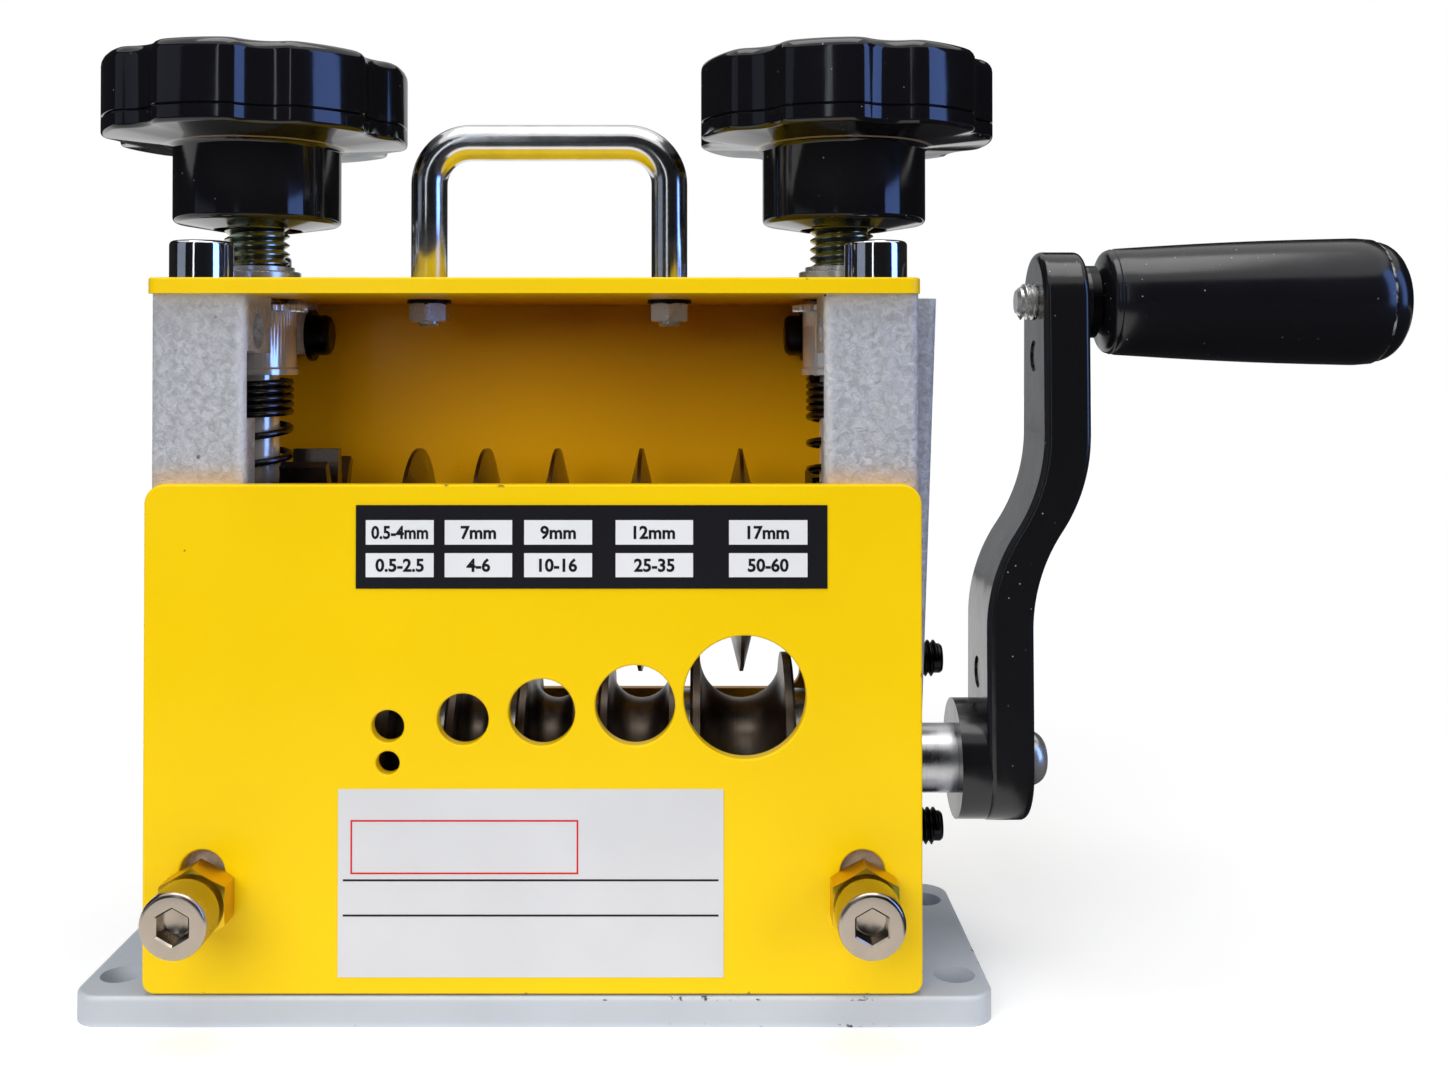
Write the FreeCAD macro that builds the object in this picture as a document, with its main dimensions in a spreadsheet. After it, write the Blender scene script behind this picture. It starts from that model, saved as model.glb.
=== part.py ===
import FreeCAD, Part
import math
import os
import re

import Sketcher
from FreeCAD import Placement, Rotation, Vector

# Hand crank wire stripper: two shafts between cast columns on a base plate.  Disc blades on the
# upper shaft cut the insulation of a wire that lies in a grooved roller on the lower shaft.
# +X runs along the shafts to the crank, -Y is the side the wire enters, +Z is up.  The origin is
# the centre of the base plate's underside.  Every length is in millimetres.

SIZES = {
    # base plate
    "base_overhang": 14.6,
    "base_side_overhang": 0.5,
    "base_thickness": 6,
    "base_corner": 6,
    "base_edge_round": 0.8,
    "mount_hole_radius": 4.25,
    "mount_inset_x": 6.6,
    "mount_inset_y": 11,
    # housing of two cast columns, two sheet plates and a folded cover
    "housing_length": 156,
    "housing_depth": 64,
    "plate_thickness": 3,
    "cover_thickness": 3.2,
    "column_height": 140.4,
    "column_width": 19.4,
    "column_edge_round": 1.8,
    "merge_depth": 1,
    "tool_overrun": 1,
    "rib_half_depth": 8,
    "rib_reach_top": 7,
    "rib_reach_foot": 2,
    "plate_lift": 0.3,
    "plate_height": 101.7,
    "plate_corner_top": 4,
    "plate_corner_foot": 2.5,
    "sheet_edge_round": 0.5,
    "flange_bend": 3.6,
    # channel in each column for the sliding bearing block
    "channel_reach": 15.8,
    "channel_floor": 66,
    "channel_roof_depth": 11.9,
    "front_post": 6.4,
    "notch_radius": 11.4,
    "window_skin": 1.2,
    "window_reach": 7.4,
    "window_height": 13.8,
    "window_rise": 0.3,
    "window_corner": 3,
    # shafts
    "roller_axis": 45,
    "axis_distance": 44,
    "shaft_radius": 7.5,
    "running_gap": 0.05,
    "bush_wall": 2,
    "shaft_end_gap": 0.6,
    "crank_journal_radius": 6,
    # bearing block
    "block_gap": 0.3,
    "block_height": 33.5,
    "block_below_axis": 16,
    "spring_pocket_depth": 4,
    "rod_foot": 3,
    # pressure screw stack at each side
    "stack_inset": 13,
    "screw_radius": 7,
    "rod_radius": 5,
    "rod_top_gap": 5.7,
    "sleeve_radius": 8.6,
    "sleeve_height": 15.4,
    "sleeve_top_gap": 1.2,
    "sleeve_lip": 0.4,
    "sleeve_lip_height": 1.2,
    "lock_ring_radius": 11,
    "lock_ring_height": 1.5,
    "lock_ring_teeth": 24,
    "lock_ring_tooth_depth": 0.7,
    "lock_ring_tooth_width": 1.4,
    "bushing_radius": 8.6,
    "bushing_flange_radius": 9.5,
    "bushing_flange_height": 3,
    "bushing_collar_radius": 8.1,
    "bushing_collar_height": 1,
    "spring_radius": 8,
    "wire_radius": 0.8,
    "spring_closed_share": 0.3,
    "closed_pitch": 1.62,
    "open_pitch": 5.87,
    "return_spring_radius": 5.5,
    "return_wire_radius": 0.5,
    "return_coils": 3,
    # star knob
    "knob_lift": 12.2,
    "knob_radius": 32.6,
    "knob_height": 18.4,
    "knob_lobes": 7,
    "scallop_radius": 10,
    "scallop_offset": 40,
    "scallop_blend": 5,
    "knob_edge_round": 2.5,
    "hub_radius": 18,
    "hub_height": 18.2,
    "hub_edge_round": 1.2,
    "hub_recess_radius": 9.5,
    "hub_recess_depth": 3,
    "screw_in_knob": 20,
    "left_knob_angle": 172,
    "right_knob_angle": 167,
    # blades on the upper shaft
    "blade_radius": 24.4,
    "blade_thickness": 5,
    "blade_edge": 0.8,
    "blade_bevel": 14,
    "blade_spacer_radius": 11,
    # rollers on the lower shaft
    "roller_radius": 23,
    "groove_floor": 13,
    "roller_edge": 0.6,
    "roller_spacer_radius": 15,
    # gear pair
    "gear_gap": 2.1,
    "gear_width": 10,
    "gear_teeth": 13,
    "gear_tip_radius": 24.4,
    "gear_root_radius": 15.2,
    "tooth_tip_width": 2.4,
    "tooth_root_width": 4.4,
    "gear_hub_radius": 14,
    "gear_hub_width": 4,
    # wire entry holes in the front plate, one lane for each blade
    "entry_radius_1": 3.25,
    "entry_radius_2": 5.15,
    "entry_radius_3": 6.65,
    "entry_radius_4": 8,
    "entry_radius_5": 12.3,
    "entry_height_1": 59.6,
    "entry_height_2": 61,
    "entry_height_3": 62.4,
    "entry_height_4": 63.8,
    "entry_height_5": 65.4,
    "small_entry_radius": 2.35,
    "small_entry_height": 52.3,
    "groove_radius_1": 2.7,
    "groove_radius_2": 4,
    "groove_radius_3": 5,
    "groove_radius_4": 6.5,
    "groove_radius_5": 9,
    "roller_width_1": 12,
    "roller_width_2": 12,
    "roller_width_3": 14,
    "roller_width_4": 17,
    "roller_width_5": 22.2,
    # gaps beside the rollers, from the gear to the crank side; they share the room that is left
    "roller_gap_1": 7.5,
    "roller_gap_2": 3,
    "roller_gap_3": 2.8,
    "roller_gap_4": 3.2,
    "roller_gap_5": 2.4,
    "roller_gap_6": 5,
    # exit window in the rear plate
    "exit_margin": 1,
    "exit_gap": 1.1,
    "exit_floor": 54,
    "exit_height": 19,
    "exit_corner": 4,
    # labels
    "label_thickness": 0.25,
    "chart_margin_left": 6.4,
    "chart_margin_right": 16.5,
    "chart_drop": 4.1,
    "chart_height": 16.7,
    "label_left": -38.8,
    "label_length": 77,
    "label_floor": 9.8,
    "label_height": 37.4,
    # fasteners
    "thread_gap": 0.1,
    "m8_radius": 4,
    "m8_head_radius": 6.5,
    "m8_head_height": 8,
    "m8_socket_flats": 6,
    "m8_socket_depth": 4,
    "m8_nut_flats": 13,
    "m8_nut_height": 6.5,
    "head_round": 0.8,
    "cap_screw_length": 14,
    "cap_screw_inset": 8,
    "cap_screw_edge": 7.5,
    "front_bolt_inset": 12,
    "front_bolt_height": 26,
    "front_bolt_stand_off": 2.5,
    "front_bolt_depth": 18,
    "slot_half_width": 4.5,
    "slot_floor": 20,
    "slot_height": 15,
    "m6_radius": 3,
    "countersink_depth": 3.3,
    "countersink_seat": 0.2,
    "hole_end_gap": 0.4,
    "foot_screw_depth": 14,
    "foot_screw_inset": 9,
    "foot_screw_edge": 12,
    "side_screw_head_radius": 4.75,
    "side_screw_head_height": 4,
    "side_screw_depth": 5.6,
    "side_washer_radius": 6,
    "side_washer_height": 1.2,
    "side_hole_radius": 3.7,
    "side_hole_depth": 6,
    "side_hole_edge": 8.5,
    "side_hole_drop": 7.4,
    "lock_screw_length": 12,
    "lock_screw_end": 9,
    "lock_screw_upper": 67,
    "lock_screw_lower": 30,
    "lock_screw_flats": 4,
    "lock_screw_socket": 4,
    "m5_radius": 2.5,
    "button_radius": 4.75,
    "button_height": 2.8,
    "button_flats": 3,
    "button_socket": 1.6,
    "rear_screw_depth": 8,
    "rear_screw_inset": 9,
    "rear_screw_lower": 26,
    "rear_screw_upper": 57,
    # carrying handle
    "handle_spacing": 53.4,
    "handle_radius": 4,
    "handle_height": 35.8,
    "handle_bend": 9.3,
    "stud_length": 9,
    "handle_washer_radius": 4.9,
    "handle_washer_height": 0.8,
    "m5_nut_flats": 8,
    "m5_nut_height": 4,
    # crank
    "crank_gap": 11.5,
    "crank_spacer_length": 3.2,
    "crank_hub_radius": 13,
    "crank_hub_reach": 5.5,
    "arm_thickness": 10,
    "arm_offset": 12.7,
    "arm_bend_start": 30,
    "arm_bend_height": 42,
    "arm_foot_radius": 13.2,
    "arm_tip_radius": 11,
    "arm_edge_round": 1.6,
    "crank_radius": 101,
    "arm_boss_radius": 8,
    "arm_boss_height": 1.3,
    "dome_radius": 6,
    "dome_height": 5,
    "dome_round": 4,
    "ejector_mark_radius": 3.5,
    "ejector_mark_depth": 0.4,
    "ejector_mark_low": 19,
    "ejector_mark_high": 12,
    "crank_screw_depth": 14,
    "bolt_protrusion": 4,
    "grip_washer_radius": 8,
    "grip_washer_height": 2,
    "grip_length": 67,
    "grip_gap": 0.3,
    "grip_radius_near": 11.5,
    "grip_radius_far": 14.1,
    "grip_taper_length": 57,
    "grip_edge_round": 1.5,
    "grip_bolt_head_radius": 6.5,
    "grip_bolt_head_height": 5,
    "grip_cap_length": 6,
    "grip_cap_seat": 3,
    "grip_cap_gap": 1,
    "grip_cap_round": 5.5,
    "grip_rim_step": 0.6,
    "grip_cavity_gap": 0.5,
}

# Places that several pieces share, each worked out from the sizes above.
DERIVED = {
    "column_foot": "base_thickness",
    "column_top": "base_thickness + column_height",
    "column_outer": "housing_length / 2",
    "column_inner": "column_outer - column_width",
    "column_half_depth": "housing_depth / 2 - plate_thickness",
    "base_length": "housing_length + 2 * base_overhang",
    "base_depth": "housing_depth + 2 * base_side_overhang",
    "mount_spacing_x": "base_length - 2 * mount_inset_x",
    "mount_spacing_y": "base_depth - 2 * mount_inset_y",
    "plate_foot": "base_thickness + plate_lift",
    "plate_top": "plate_foot + plate_height",
    "cover_top": "column_top + cover_thickness",
    "channel_roof": "column_top - channel_roof_depth",
    "stack_offset": "column_outer - stack_inset",
    "cap_screw_x": "column_outer - cap_screw_inset",
    "cap_screw_y": "column_half_depth - cap_screw_edge",
    "front_bolt_x": "column_outer - front_bolt_inset",
    "foot_screw_x": "column_outer - foot_screw_inset",
    "foot_screw_y": "column_half_depth - foot_screw_edge",
    "side_hole_y": "column_half_depth - side_hole_edge",
    "side_hole_height": "column_top - side_hole_drop",
    "rear_screw_x": "column_outer - rear_screw_inset",
    "channel_outer": "column_inner + channel_reach",
    "channel_front": "column_half_depth - front_post",
    "blade_axis": "roller_axis + axis_distance",
    "bush_radius": "shaft_radius + running_gap + bush_wall",
    "block_inner": "column_inner + block_gap",
    "block_outer": "channel_outer - block_gap",
    "block_foot": "blade_axis - block_below_axis",
    "block_top": "block_foot + block_height",
    "spring_seat": "block_top - spring_pocket_depth",
    "sleeve_top": "column_top - sleeve_top_gap",
    "sleeve_foot": "sleeve_top - sleeve_height",
    "spring_room": "sleeve_foot - spring_seat - 2 * wire_radius",
    "closed_coils": "round(spring_closed_share * spring_room / closed_pitch)",
    "open_coils": "round((spring_room - closed_coils * closed_pitch) / open_pitch)",
    "rod_length": "sleeve_top - rod_top_gap - spring_seat + rod_foot",
    "knob_foot": "cover_top + knob_lift",
    "crank_inner": "column_outer + crank_gap",
    "arm_inner": "crank_inner + crank_hub_reach",
    "arm_outer": "arm_inner + arm_thickness",
    "grip_axis": "roller_axis + crank_radius",
    "upper_arm_inner": "arm_inner + arm_offset",
    "upper_arm_outer": "upper_arm_inner + arm_thickness",
    "arm_boss_outer": "upper_arm_outer + arm_boss_height",
    "grip_start": "arm_boss_outer + grip_washer_height + grip_gap",
    "grip_end": "grip_start + grip_length",
    "grip_cap_start": "grip_end - grip_cap_length",
    "grip_bolt_end": "grip_cap_start - grip_cap_seat - grip_cap_gap",
    "gear_left": "column_inner - gear_gap",
    "gear_right": "gear_left - gear_width",
    "spline_radius": "lock_ring_radius - lock_ring_tooth_depth",
    "hub_end": "gear_hub_width - gear_right",
    "roller_widths": "roller_width_1 + roller_width_2 + roller_width_3 + roller_width_4"
                     " + roller_width_5",
    "roller_gaps": "roller_gap_1 + roller_gap_2 + roller_gap_3 + roller_gap_4 + roller_gap_5"
                   " + roller_gap_6",
    "gap_scale": "(column_inner - hub_end - roller_widths) / roller_gaps",
    "lane_1": "hub_end + roller_gap_1 * gap_scale + roller_width_1 / 2",
    "lane_2": "lane_1 + (roller_width_1 + roller_width_2) / 2 + roller_gap_2 * gap_scale",
    "lane_3": "lane_2 + (roller_width_2 + roller_width_3) / 2 + roller_gap_3 * gap_scale",
    "lane_4": "lane_3 + (roller_width_3 + roller_width_4) / 2 + roller_gap_4 * gap_scale",
    "lane_5": "lane_4 + (roller_width_4 + roller_width_5) / 2 + roller_gap_5 * gap_scale",
    "exit_left": "exit_margin + roller_width_1 / 2 - lane_1",
    "exit_right": "column_inner - exit_gap",
    "chart_left": "lane_1 - chart_margin_left",
    "chart_length": "lane_5 + chart_margin_right - chart_left",
    "chart_floor": "plate_top - chart_drop - chart_height",
}

LANES = range(1, 6)
SIDES = {"left": -1, "right": 1}
FRONT = Vector(0, -1, 0)
REAR = Vector(0, 1, 0)
UP = Vector(0, 0, 1)
DOWN = Vector(0, 0, -1)
SHEET = "sizes"
SMALL = 1e-4

PARTS = {}
CUTS = []

doc = FreeCAD.newDocument("wire_stripper")
sheet = doc.addObject("Spreadsheet::Sheet", SHEET)
for row, (alias, number) in enumerate(SIZES.items(), 1):
    sheet.set("A%d" % row, str(number))
    sheet.setAlias("A%d" % row, alias)
doc.recompute()


# ---------------------------------------------------------------- expressions

def bind(text):
    """Write out the derived places in an expression and point its sizes at the sheet."""
    def written_out(match):
        word = match.group(0)
        if word in DERIVED:
            return "(" + bind(DERIVED[word]) + ")"
        if word in SIZES:
            return SHEET + "." + word
        return word
    return re.sub(r"[a-z][a-z_0-9]*", written_out, text)


def value(text):
    """The present number of an expression."""
    return float(sheet.evalExpression(bind(text)))


def minus(text):
    return "-(" + text + ")"


def span(side, near, far):
    """Two ends of a stretch that is mirrored to one side, the lower one first."""
    if side > 0:
        return near, far
    return minus(far), minus(near)


def to_side(side, text):
    return text if side > 0 else minus(text)


# ---------------------------------------------------------------- sketches

def new_body(name):
    return doc.addObject("PartDesign::Body", name)


def new_sketch(body, role, offset="0"):
    """A sketch on one of the body's own origin planes, moved along the plane's normal."""
    made = body.newObject("Sketcher::SketchObject", body.Name + "_sketch")
    plane = next(item for item in body.Origin.OriginFeatures if item.Role == role)
    made.AttachmentSupport = [(plane, "")]
    made.MapMode = "FlatFace"
    made.setExpression("AttachmentOffset.Base.z", bind(offset))
    return made


def hold(sketch, kind, geometry, corner, text, number):
    """Hold a point of a sketch from the origin by one expression."""
    index = sketch.addConstraint(Sketcher.Constraint(kind, -1, 1, geometry, corner, number))
    sketch.setExpression("Constraints[%d]" % index, bind(text))


def hold_point(sketch, geometry, corner, x, y):
    hold(sketch, "DistanceX", geometry, corner, x, value(x))
    hold(sketch, "DistanceY", geometry, corner, y, value(y))


def outline(sketch, start, steps):
    """A closed outline.  A step (x, y) is straight, (x, y, centre x, centre y, turn) an arc that
    turns anticlockwise for turn 1 and clockwise for turn -1.  The last step is straight."""
    here = start
    edges = []
    for step in steps:
        first = Vector(value(here[0]), value(here[1]), 0)
        last = Vector(value(step[0]), value(step[1]), 0)
        if len(step) == 2:
            edges.append((sketch.addGeometry(Part.LineSegment(first, last), False), 1, 2))
        else:
            middle = Vector(value(step[2]), value(step[3]), 0)
            ends = [first - middle, last - middle]
            turns = [math.atan2(end.y, end.x) for end in (ends if step[4] > 0 else ends[::-1])]
            round_edge = Part.Circle(middle, UP, ends[0].Length)
            arc = sketch.addGeometry(Part.ArcOfCircle(round_edge, turns[0], turns[1]), False)
            edges.append((arc, 1, 2) if step[4] > 0 else (arc, 2, 1))
            hold_point(sketch, arc, 3, step[2], step[3])
        here = step
    for number, (edge, _, end) in enumerate(edges):
        after, begin, _ = edges[(number + 1) % len(edges)]
        sketch.addConstraint(Sketcher.Constraint("Coincident", edge, end, after, begin))
    hold_point(sketch, edges[0][0], edges[0][1], start[0], start[1])
    for (edge, _, end), step in zip(edges[:-1], steps[:-1]):
        x, y = step[0], step[1]
        if len(step) == 2:
            hold_point(sketch, edge, end, x, y)
        elif abs(value(x) - value(step[2])) > abs(value(y) - value(step[3])):
            hold(sketch, "DistanceY", edge, end, y, value(y))
        else:
            hold(sketch, "DistanceX", edge, end, x, value(x))


def polygon(sketch, corners):
    outline(sketch, corners[0], corners[1:] + corners[:1])


def rectangle(sketch, x_low, x_high, y_low, y_high):
    polygon(sketch, [(x_low, y_low), (x_high, y_low), (x_high, y_high), (x_low, y_high)])


def rounded_rectangle(sketch, x_low, x_high, y_low, y_high, foot_radius, top_radius):
    """A rectangle with one radius at its two lower corners and one at its two upper ones."""
    left, right = x_low + " + ", x_high + " - "
    low, high = y_low + " + ", y_high + " - "
    outline(sketch, (x_low, low + foot_radius), [
        (left + foot_radius, y_low, left + foot_radius, low + foot_radius, 1),
        (right + foot_radius, y_low),
        (x_high, low + foot_radius, right + foot_radius, low + foot_radius, 1),
        (x_high, high + top_radius),
        (right + top_radius, y_high, right + top_radius, high + top_radius, 1),
        (left + top_radius, y_high),
        (x_low, high + top_radius, left + top_radius, high + top_radius, 1),
        (x_low, low + foot_radius),
    ])


def circle(sketch, x, y, radius):
    centre = Vector(value(x), value(y), 0)
    made = sketch.addGeometry(Part.Circle(centre, UP, value(radius)), False)
    hold_point(sketch, made, 3, x, y)
    index = sketch.addConstraint(Sketcher.Constraint("Radius", made, value(radius)))
    sketch.setExpression("Constraints[%d]" % index, bind(radius))


def hexagon(sketch, flats, x="0", y="0"):
    """A hexagon of the given width across its flats, with two flats upright."""
    corners = []
    for number in range(6):
        angle = math.radians(60 * number + 30)
        across = "%s + %.9f * (%s)" % (x, math.cos(angle) / math.sqrt(3), flats)
        upward = "%s + %.9f * (%s)" % (y, math.sin(angle) / math.sqrt(3), flats)
        corners.append((across, upward))
    polygon(sketch, corners)


# ---------------------------------------------------------------- features

def pad(body, sketch, length, both_ways=False):
    made = body.newObject("PartDesign::Pad", body.Name + "_pad")
    made.Profile = sketch
    made.setExpression("Length", bind(length))
    if both_ways:
        made.SideType = "Symmetric"
    return made


def pocket(body, sketch, length):
    """Cut from the sketch against its plane's normal."""
    made = body.newObject("PartDesign::Pocket", body.Name + "_pocket")
    made.Profile = sketch
    made.setExpression("Length", bind(length))
    CUTS.append((made, made.BaseFeature))
    return made


def turn(body, sketch, axis):
    made = body.newObject("PartDesign::Revolution", body.Name + "_turned")
    made.Profile = sketch
    made.ReferenceAxis = (sketch, [axis])
    made.Angle = 360
    return made


def groove(body, sketch, axis):
    made = body.newObject("PartDesign::Groove", body.Name + "_groove")
    made.Profile = sketch
    made.ReferenceAxis = (sketch, [axis])
    made.Angle = 360
    CUTS.append((made, made.BaseFeature))
    return made


def ring_pattern(body, feature, sketch, count):
    """Repeat a feature round the normal of its sketch."""
    made = body.newObject("PartDesign::PolarPattern", body.Name + "_ring")
    made.Originals = [feature]
    made.Axis = (sketch, ["N_Axis"])
    made.Angle = 360
    made.setExpression("Occurrences", bind(count))
    body.Tip = made
    return made


def round_edges(body, radius, wanted, kind="Fillet"):
    """Fillet or chamfer the edges of the body's last feature that are wanted."""
    doc.recompute()
    base = body.Tip
    names = ["Edge%d" % n for n, edge in enumerate(base.Shape.Edges, 1) if wanted(edge)]
    made = body.newObject("PartDesign::" + kind, body.Name + "_edges")
    made.Base = (base, names)
    made.setExpression("Radius" if kind == "Fillet" else "Size", bind(radius))
    body.Tip = made
    return made


def at_level(edge, axis, level):
    box = edge.BoundBox
    low, high = getattr(box, axis + "Min"), getattr(box, axis + "Max")
    return abs(low - level) < SMALL and abs(high - level) < SMALL


def runs_along(edge, axis):
    box = edge.BoundBox
    others = [name for name in "XYZ" if name != axis]
    return isinstance(edge.Curve, Part.Line) and all(
        getattr(box, name + "Length") < SMALL for name in others)


def place(made, x="0", y="0", z="0", aim=UP, twist=0):
    """Put a sub-part at a place, with its own +Z aimed along a direction."""
    made.Placement = Placement(Vector(), Rotation(UP, aim) * Rotation(UP, twist))
    for axis, text in zip("xyz", (x, y, z)):
        made.setExpression("Placement.Base." + axis, bind(text))
    return made


def turned(name, axis, corners):
    """A body turned from an outline about X, in (place, radius), or Z, in (radius, place)."""
    body = new_body(name)
    sketch = new_sketch(body, "XZ_Plane")
    polygon(sketch, corners)
    turn(body, sketch, "H_Axis" if axis == "X" else "V_Axis")
    return body


def tube(name, axis, start, end, inner, outer):
    """A straight tube, or a solid bar if its inner radius is 0."""
    if axis == "X":
        corners = [(start, inner), (end, inner), (end, outer), (start, outer)]
    else:
        corners = [(inner, start), (outer, start), (outer, end), (inner, end)]
    return turned(name, axis, corners)


def group(label, members):
    """Equal pieces that share one node, each a separate solid."""
    made = doc.addObject("Part::Compound", label)
    made.Links = members
    publish(made, label)


def publish(made, label):
    """Give a finished sub-part the name of its file."""
    made.Label = label
    PARTS[label] = made


# ---------------------------------------------------------------- fasteners

def socket_screw(name, head_radius, head_height, radius, length, flats, depth):
    """A cap screw along -Z with its head above its seat at z = 0."""
    body = turned(name, "Z", [
        ("0", minus(length)), (radius, minus(length)), (radius, "0"), (head_radius, "0"),
        (head_radius, head_height), ("0", head_height),
    ])
    round_edges(body, "head_round", lambda edge: at_level(edge, "Z", value(head_height)))
    sketch = new_sketch(body, "XY_Plane", head_height)
    hexagon(sketch, flats)
    pocket(body, sketch, depth)
    return body


def hex_nut(name, flats, height, bore):
    """A nut from z = 0 upwards, with its corners turned off at both ends."""
    body = new_body(name)
    sketch = new_sketch(body, "XY_Plane")
    hexagon(sketch, flats)
    pad(body, sketch, height)
    hole = new_sketch(body, "XY_Plane", height)
    circle(hole, "0", "0", bore)
    pocket(body, hole, height)
    across = "(%s) / sqrt(3)" % flats
    slope = across + " - (%s) / 2" % flats
    ends = [("0", "1"), (height, "-1")]
    for level, way in ends:
        corner = new_sketch(body, "XZ_Plane")
        polygon(corner, [
            ("(%s) / 2" % flats, level), (across + " + " + slope, level),
            (across + " + " + slope, level + " + " + way + " * (" + slope + ")")])
        groove(body, corner, "V_Axis")
    return body


# ---------------------------------------------------------------- base and housing

def base_plate():
    body = new_body("base_plate")
    sketch = new_sketch(body, "XY_Plane")
    rounded_rectangle(sketch, "-base_length / 2", "base_length / 2", "-base_depth / 2",
                      "base_depth / 2", "base_corner", "base_corner")
    pad(body, sketch, "base_thickness")
    round_edges(body, "base_edge_round",
                lambda edge: at_level(edge, "Z", value("base_thickness")))
    holes = new_sketch(body, "XY_Plane", "base_thickness")
    for x in ("-mount_spacing_x / 2", "mount_spacing_x / 2"):
        for y in ("-mount_spacing_y / 2", "mount_spacing_y / 2"):
            circle(holes, x, y, "mount_hole_radius")
    for x, y in foot_screw_places():
        circle(holes, x, y, "m6_radius + thread_gap")
    pocket(body, holes, "base_thickness")
    round_edges(body, "countersink_depth", lambda edge: at_level(edge, "Z", 0)
                and abs(abs(edge.CenterOfMass.x) - value("foot_screw_x")) < SMALL, "Chamfer")
    publish(body, "base_plate")


def foot_screw_places():
    return [(x, y) for x in ("-foot_screw_x", "foot_screw_x")
            for y in ("-foot_screw_y", "foot_screw_y")]


def foot_screws():
    """Countersunk screws that hold the columns from below."""
    made = []
    for x, y in foot_screw_places():
        body = turned("column_base_screw", "Z", [
            ("0", "countersink_seat"),
            ("m6_radius + countersink_depth - countersink_seat", "countersink_seat"),
            ("m6_radius", "countersink_depth"),
            ("m6_radius", "base_thickness + foot_screw_depth"),
            ("0", "base_thickness + foot_screw_depth")])
        made.append(place(body, x, y))
    group("column_base_screws", made)


def column(name, side):
    """A cast column with a channel for its bearing block, open to the middle and the rear."""
    body = new_body(name)
    low, high = span(side, "column_inner", "column_outer")
    shaft = new_sketch(body, "XY_Plane", "column_foot")
    rectangle(shaft, low, high, "-column_half_depth", "column_half_depth")
    pad(body, shaft, "column_height")
    rib = new_sketch(body, "XZ_Plane")
    polygon(rib, [
        (to_side(side, "column_outer - merge_depth"), "column_foot"),
        (to_side(side, "column_outer + rib_reach_foot"), "column_foot"),
        (to_side(side, "column_outer + rib_reach_top"), "column_top"),
        (to_side(side, "column_outer - merge_depth"), "column_top")])
    pad(body, rib, "2 * rib_half_depth", both_ways=True)
    round_edges(body, "column_edge_round", lambda edge: cast_edge(edge, side))
    cut_channel(body, side)
    drill_column(body, side)
    publish(body, name)


def cast_edge(edge, side):
    """The upright corners of a casting and the edges of its rib."""
    middle = edge.CenterOfMass
    outward = side * middle.x
    corner = abs(abs(middle.y) - value("column_half_depth")) < SMALL and runs_along(edge, "Z")
    tip = (outward > value("column_outer") + SMALL
           and edge.BoundBox.ZLength > value("column_height") / 2)
    return corner or tip


def cut_channel(body, side):
    """The block's channel, the notch for the pressure sleeve and the window in the front post."""
    low, high = span(side, "column_inner - tool_overrun", "channel_outer")
    channel = new_sketch(body, "XY_Plane", "channel_roof")
    rectangle(channel, low, high, minus("channel_front"), "column_half_depth + tool_overrun")
    pocket(body, channel, "channel_roof - channel_floor")
    low, high = span(side, "column_inner - tool_overrun", "stack_offset")
    mouth = new_sketch(body, "XY_Plane", "column_top")
    rectangle(mouth, low, high, "-notch_radius", "notch_radius")
    pocket(body, mouth, "column_top - channel_roof")
    bore = new_sketch(body, "XY_Plane", "column_top")
    circle(bore, to_side(side, "stack_offset"), "0", "notch_radius")
    pocket(body, bore, "column_top - channel_roof")
    low, high = span(side, "column_inner - window_reach", "column_inner + window_reach")
    window = new_sketch(body, "XZ_Plane", "column_half_depth - window_skin")
    rounded_rectangle(window, low, high, "channel_roof + window_rise - window_height",
                      "channel_roof + window_rise", "window_corner", "window_corner")
    pocket(body, window, "front_post - window_skin")


def drill_column(body, side):
    """Bores for the bush, the fasteners and the empty front side hole."""
    outside = "column_outer + rib_reach_top + tool_overrun"
    bush = new_sketch(body, "YZ_Plane", to_side(side, outside))
    circle(bush, "0", "roller_axis", "bush_radius + running_gap")
    face_in(pocket(body, bush, outside + " - column_inner + tool_overrun"), side)
    caps = new_sketch(body, "XY_Plane", "column_top")
    for y in ("-cap_screw_y", "cap_screw_y"):
        circle(caps, to_side(side, "cap_screw_x"), y, "m8_radius + thread_gap")
    pocket(body, caps, "cap_screw_length - cover_thickness + hole_end_gap")
    bolt = new_sketch(body, "XZ_Plane", "column_half_depth")
    circle(bolt, to_side(side, "front_bolt_x"), "front_bolt_height", "m8_radius + thread_gap")
    pocket(body, bolt, "front_bolt_depth + hole_end_gap")
    rear_depth = "rear_screw_depth + hole_end_gap"
    rear = new_sketch(body, "XZ_Plane", "-column_half_depth + " + rear_depth)
    for height in ("rear_screw_lower", "rear_screw_upper"):
        circle(rear, to_side(side, "rear_screw_x"), height, "m5_radius + thread_gap")
    pocket(body, rear, rear_depth)
    foot_depth = "foot_screw_depth + hole_end_gap"
    foot = new_sketch(body, "XY_Plane", "column_foot + " + foot_depth)
    for y in ("-foot_screw_y", "foot_screw_y"):
        circle(foot, to_side(side, "foot_screw_x"), y, "m6_radius + thread_gap")
    pocket(body, foot, foot_depth)
    drill_side(body, side, "-side_hole_y", "side_hole_radius", "side_hole_depth")
    drill_side(body, side, "side_hole_y", "m6_radius + thread_gap",
               "side_screw_depth + hole_end_gap")
    if side > 0:
        lock = new_sketch(body, "YZ_Plane", outside)
        for height in ("lock_screw_lower", "lock_screw_upper"):
            circle(lock, "0", height, "m8_radius + thread_gap")
        pocket(body, lock, outside + " - column_outer - lock_screw_end + lock_screw_length")


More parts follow.
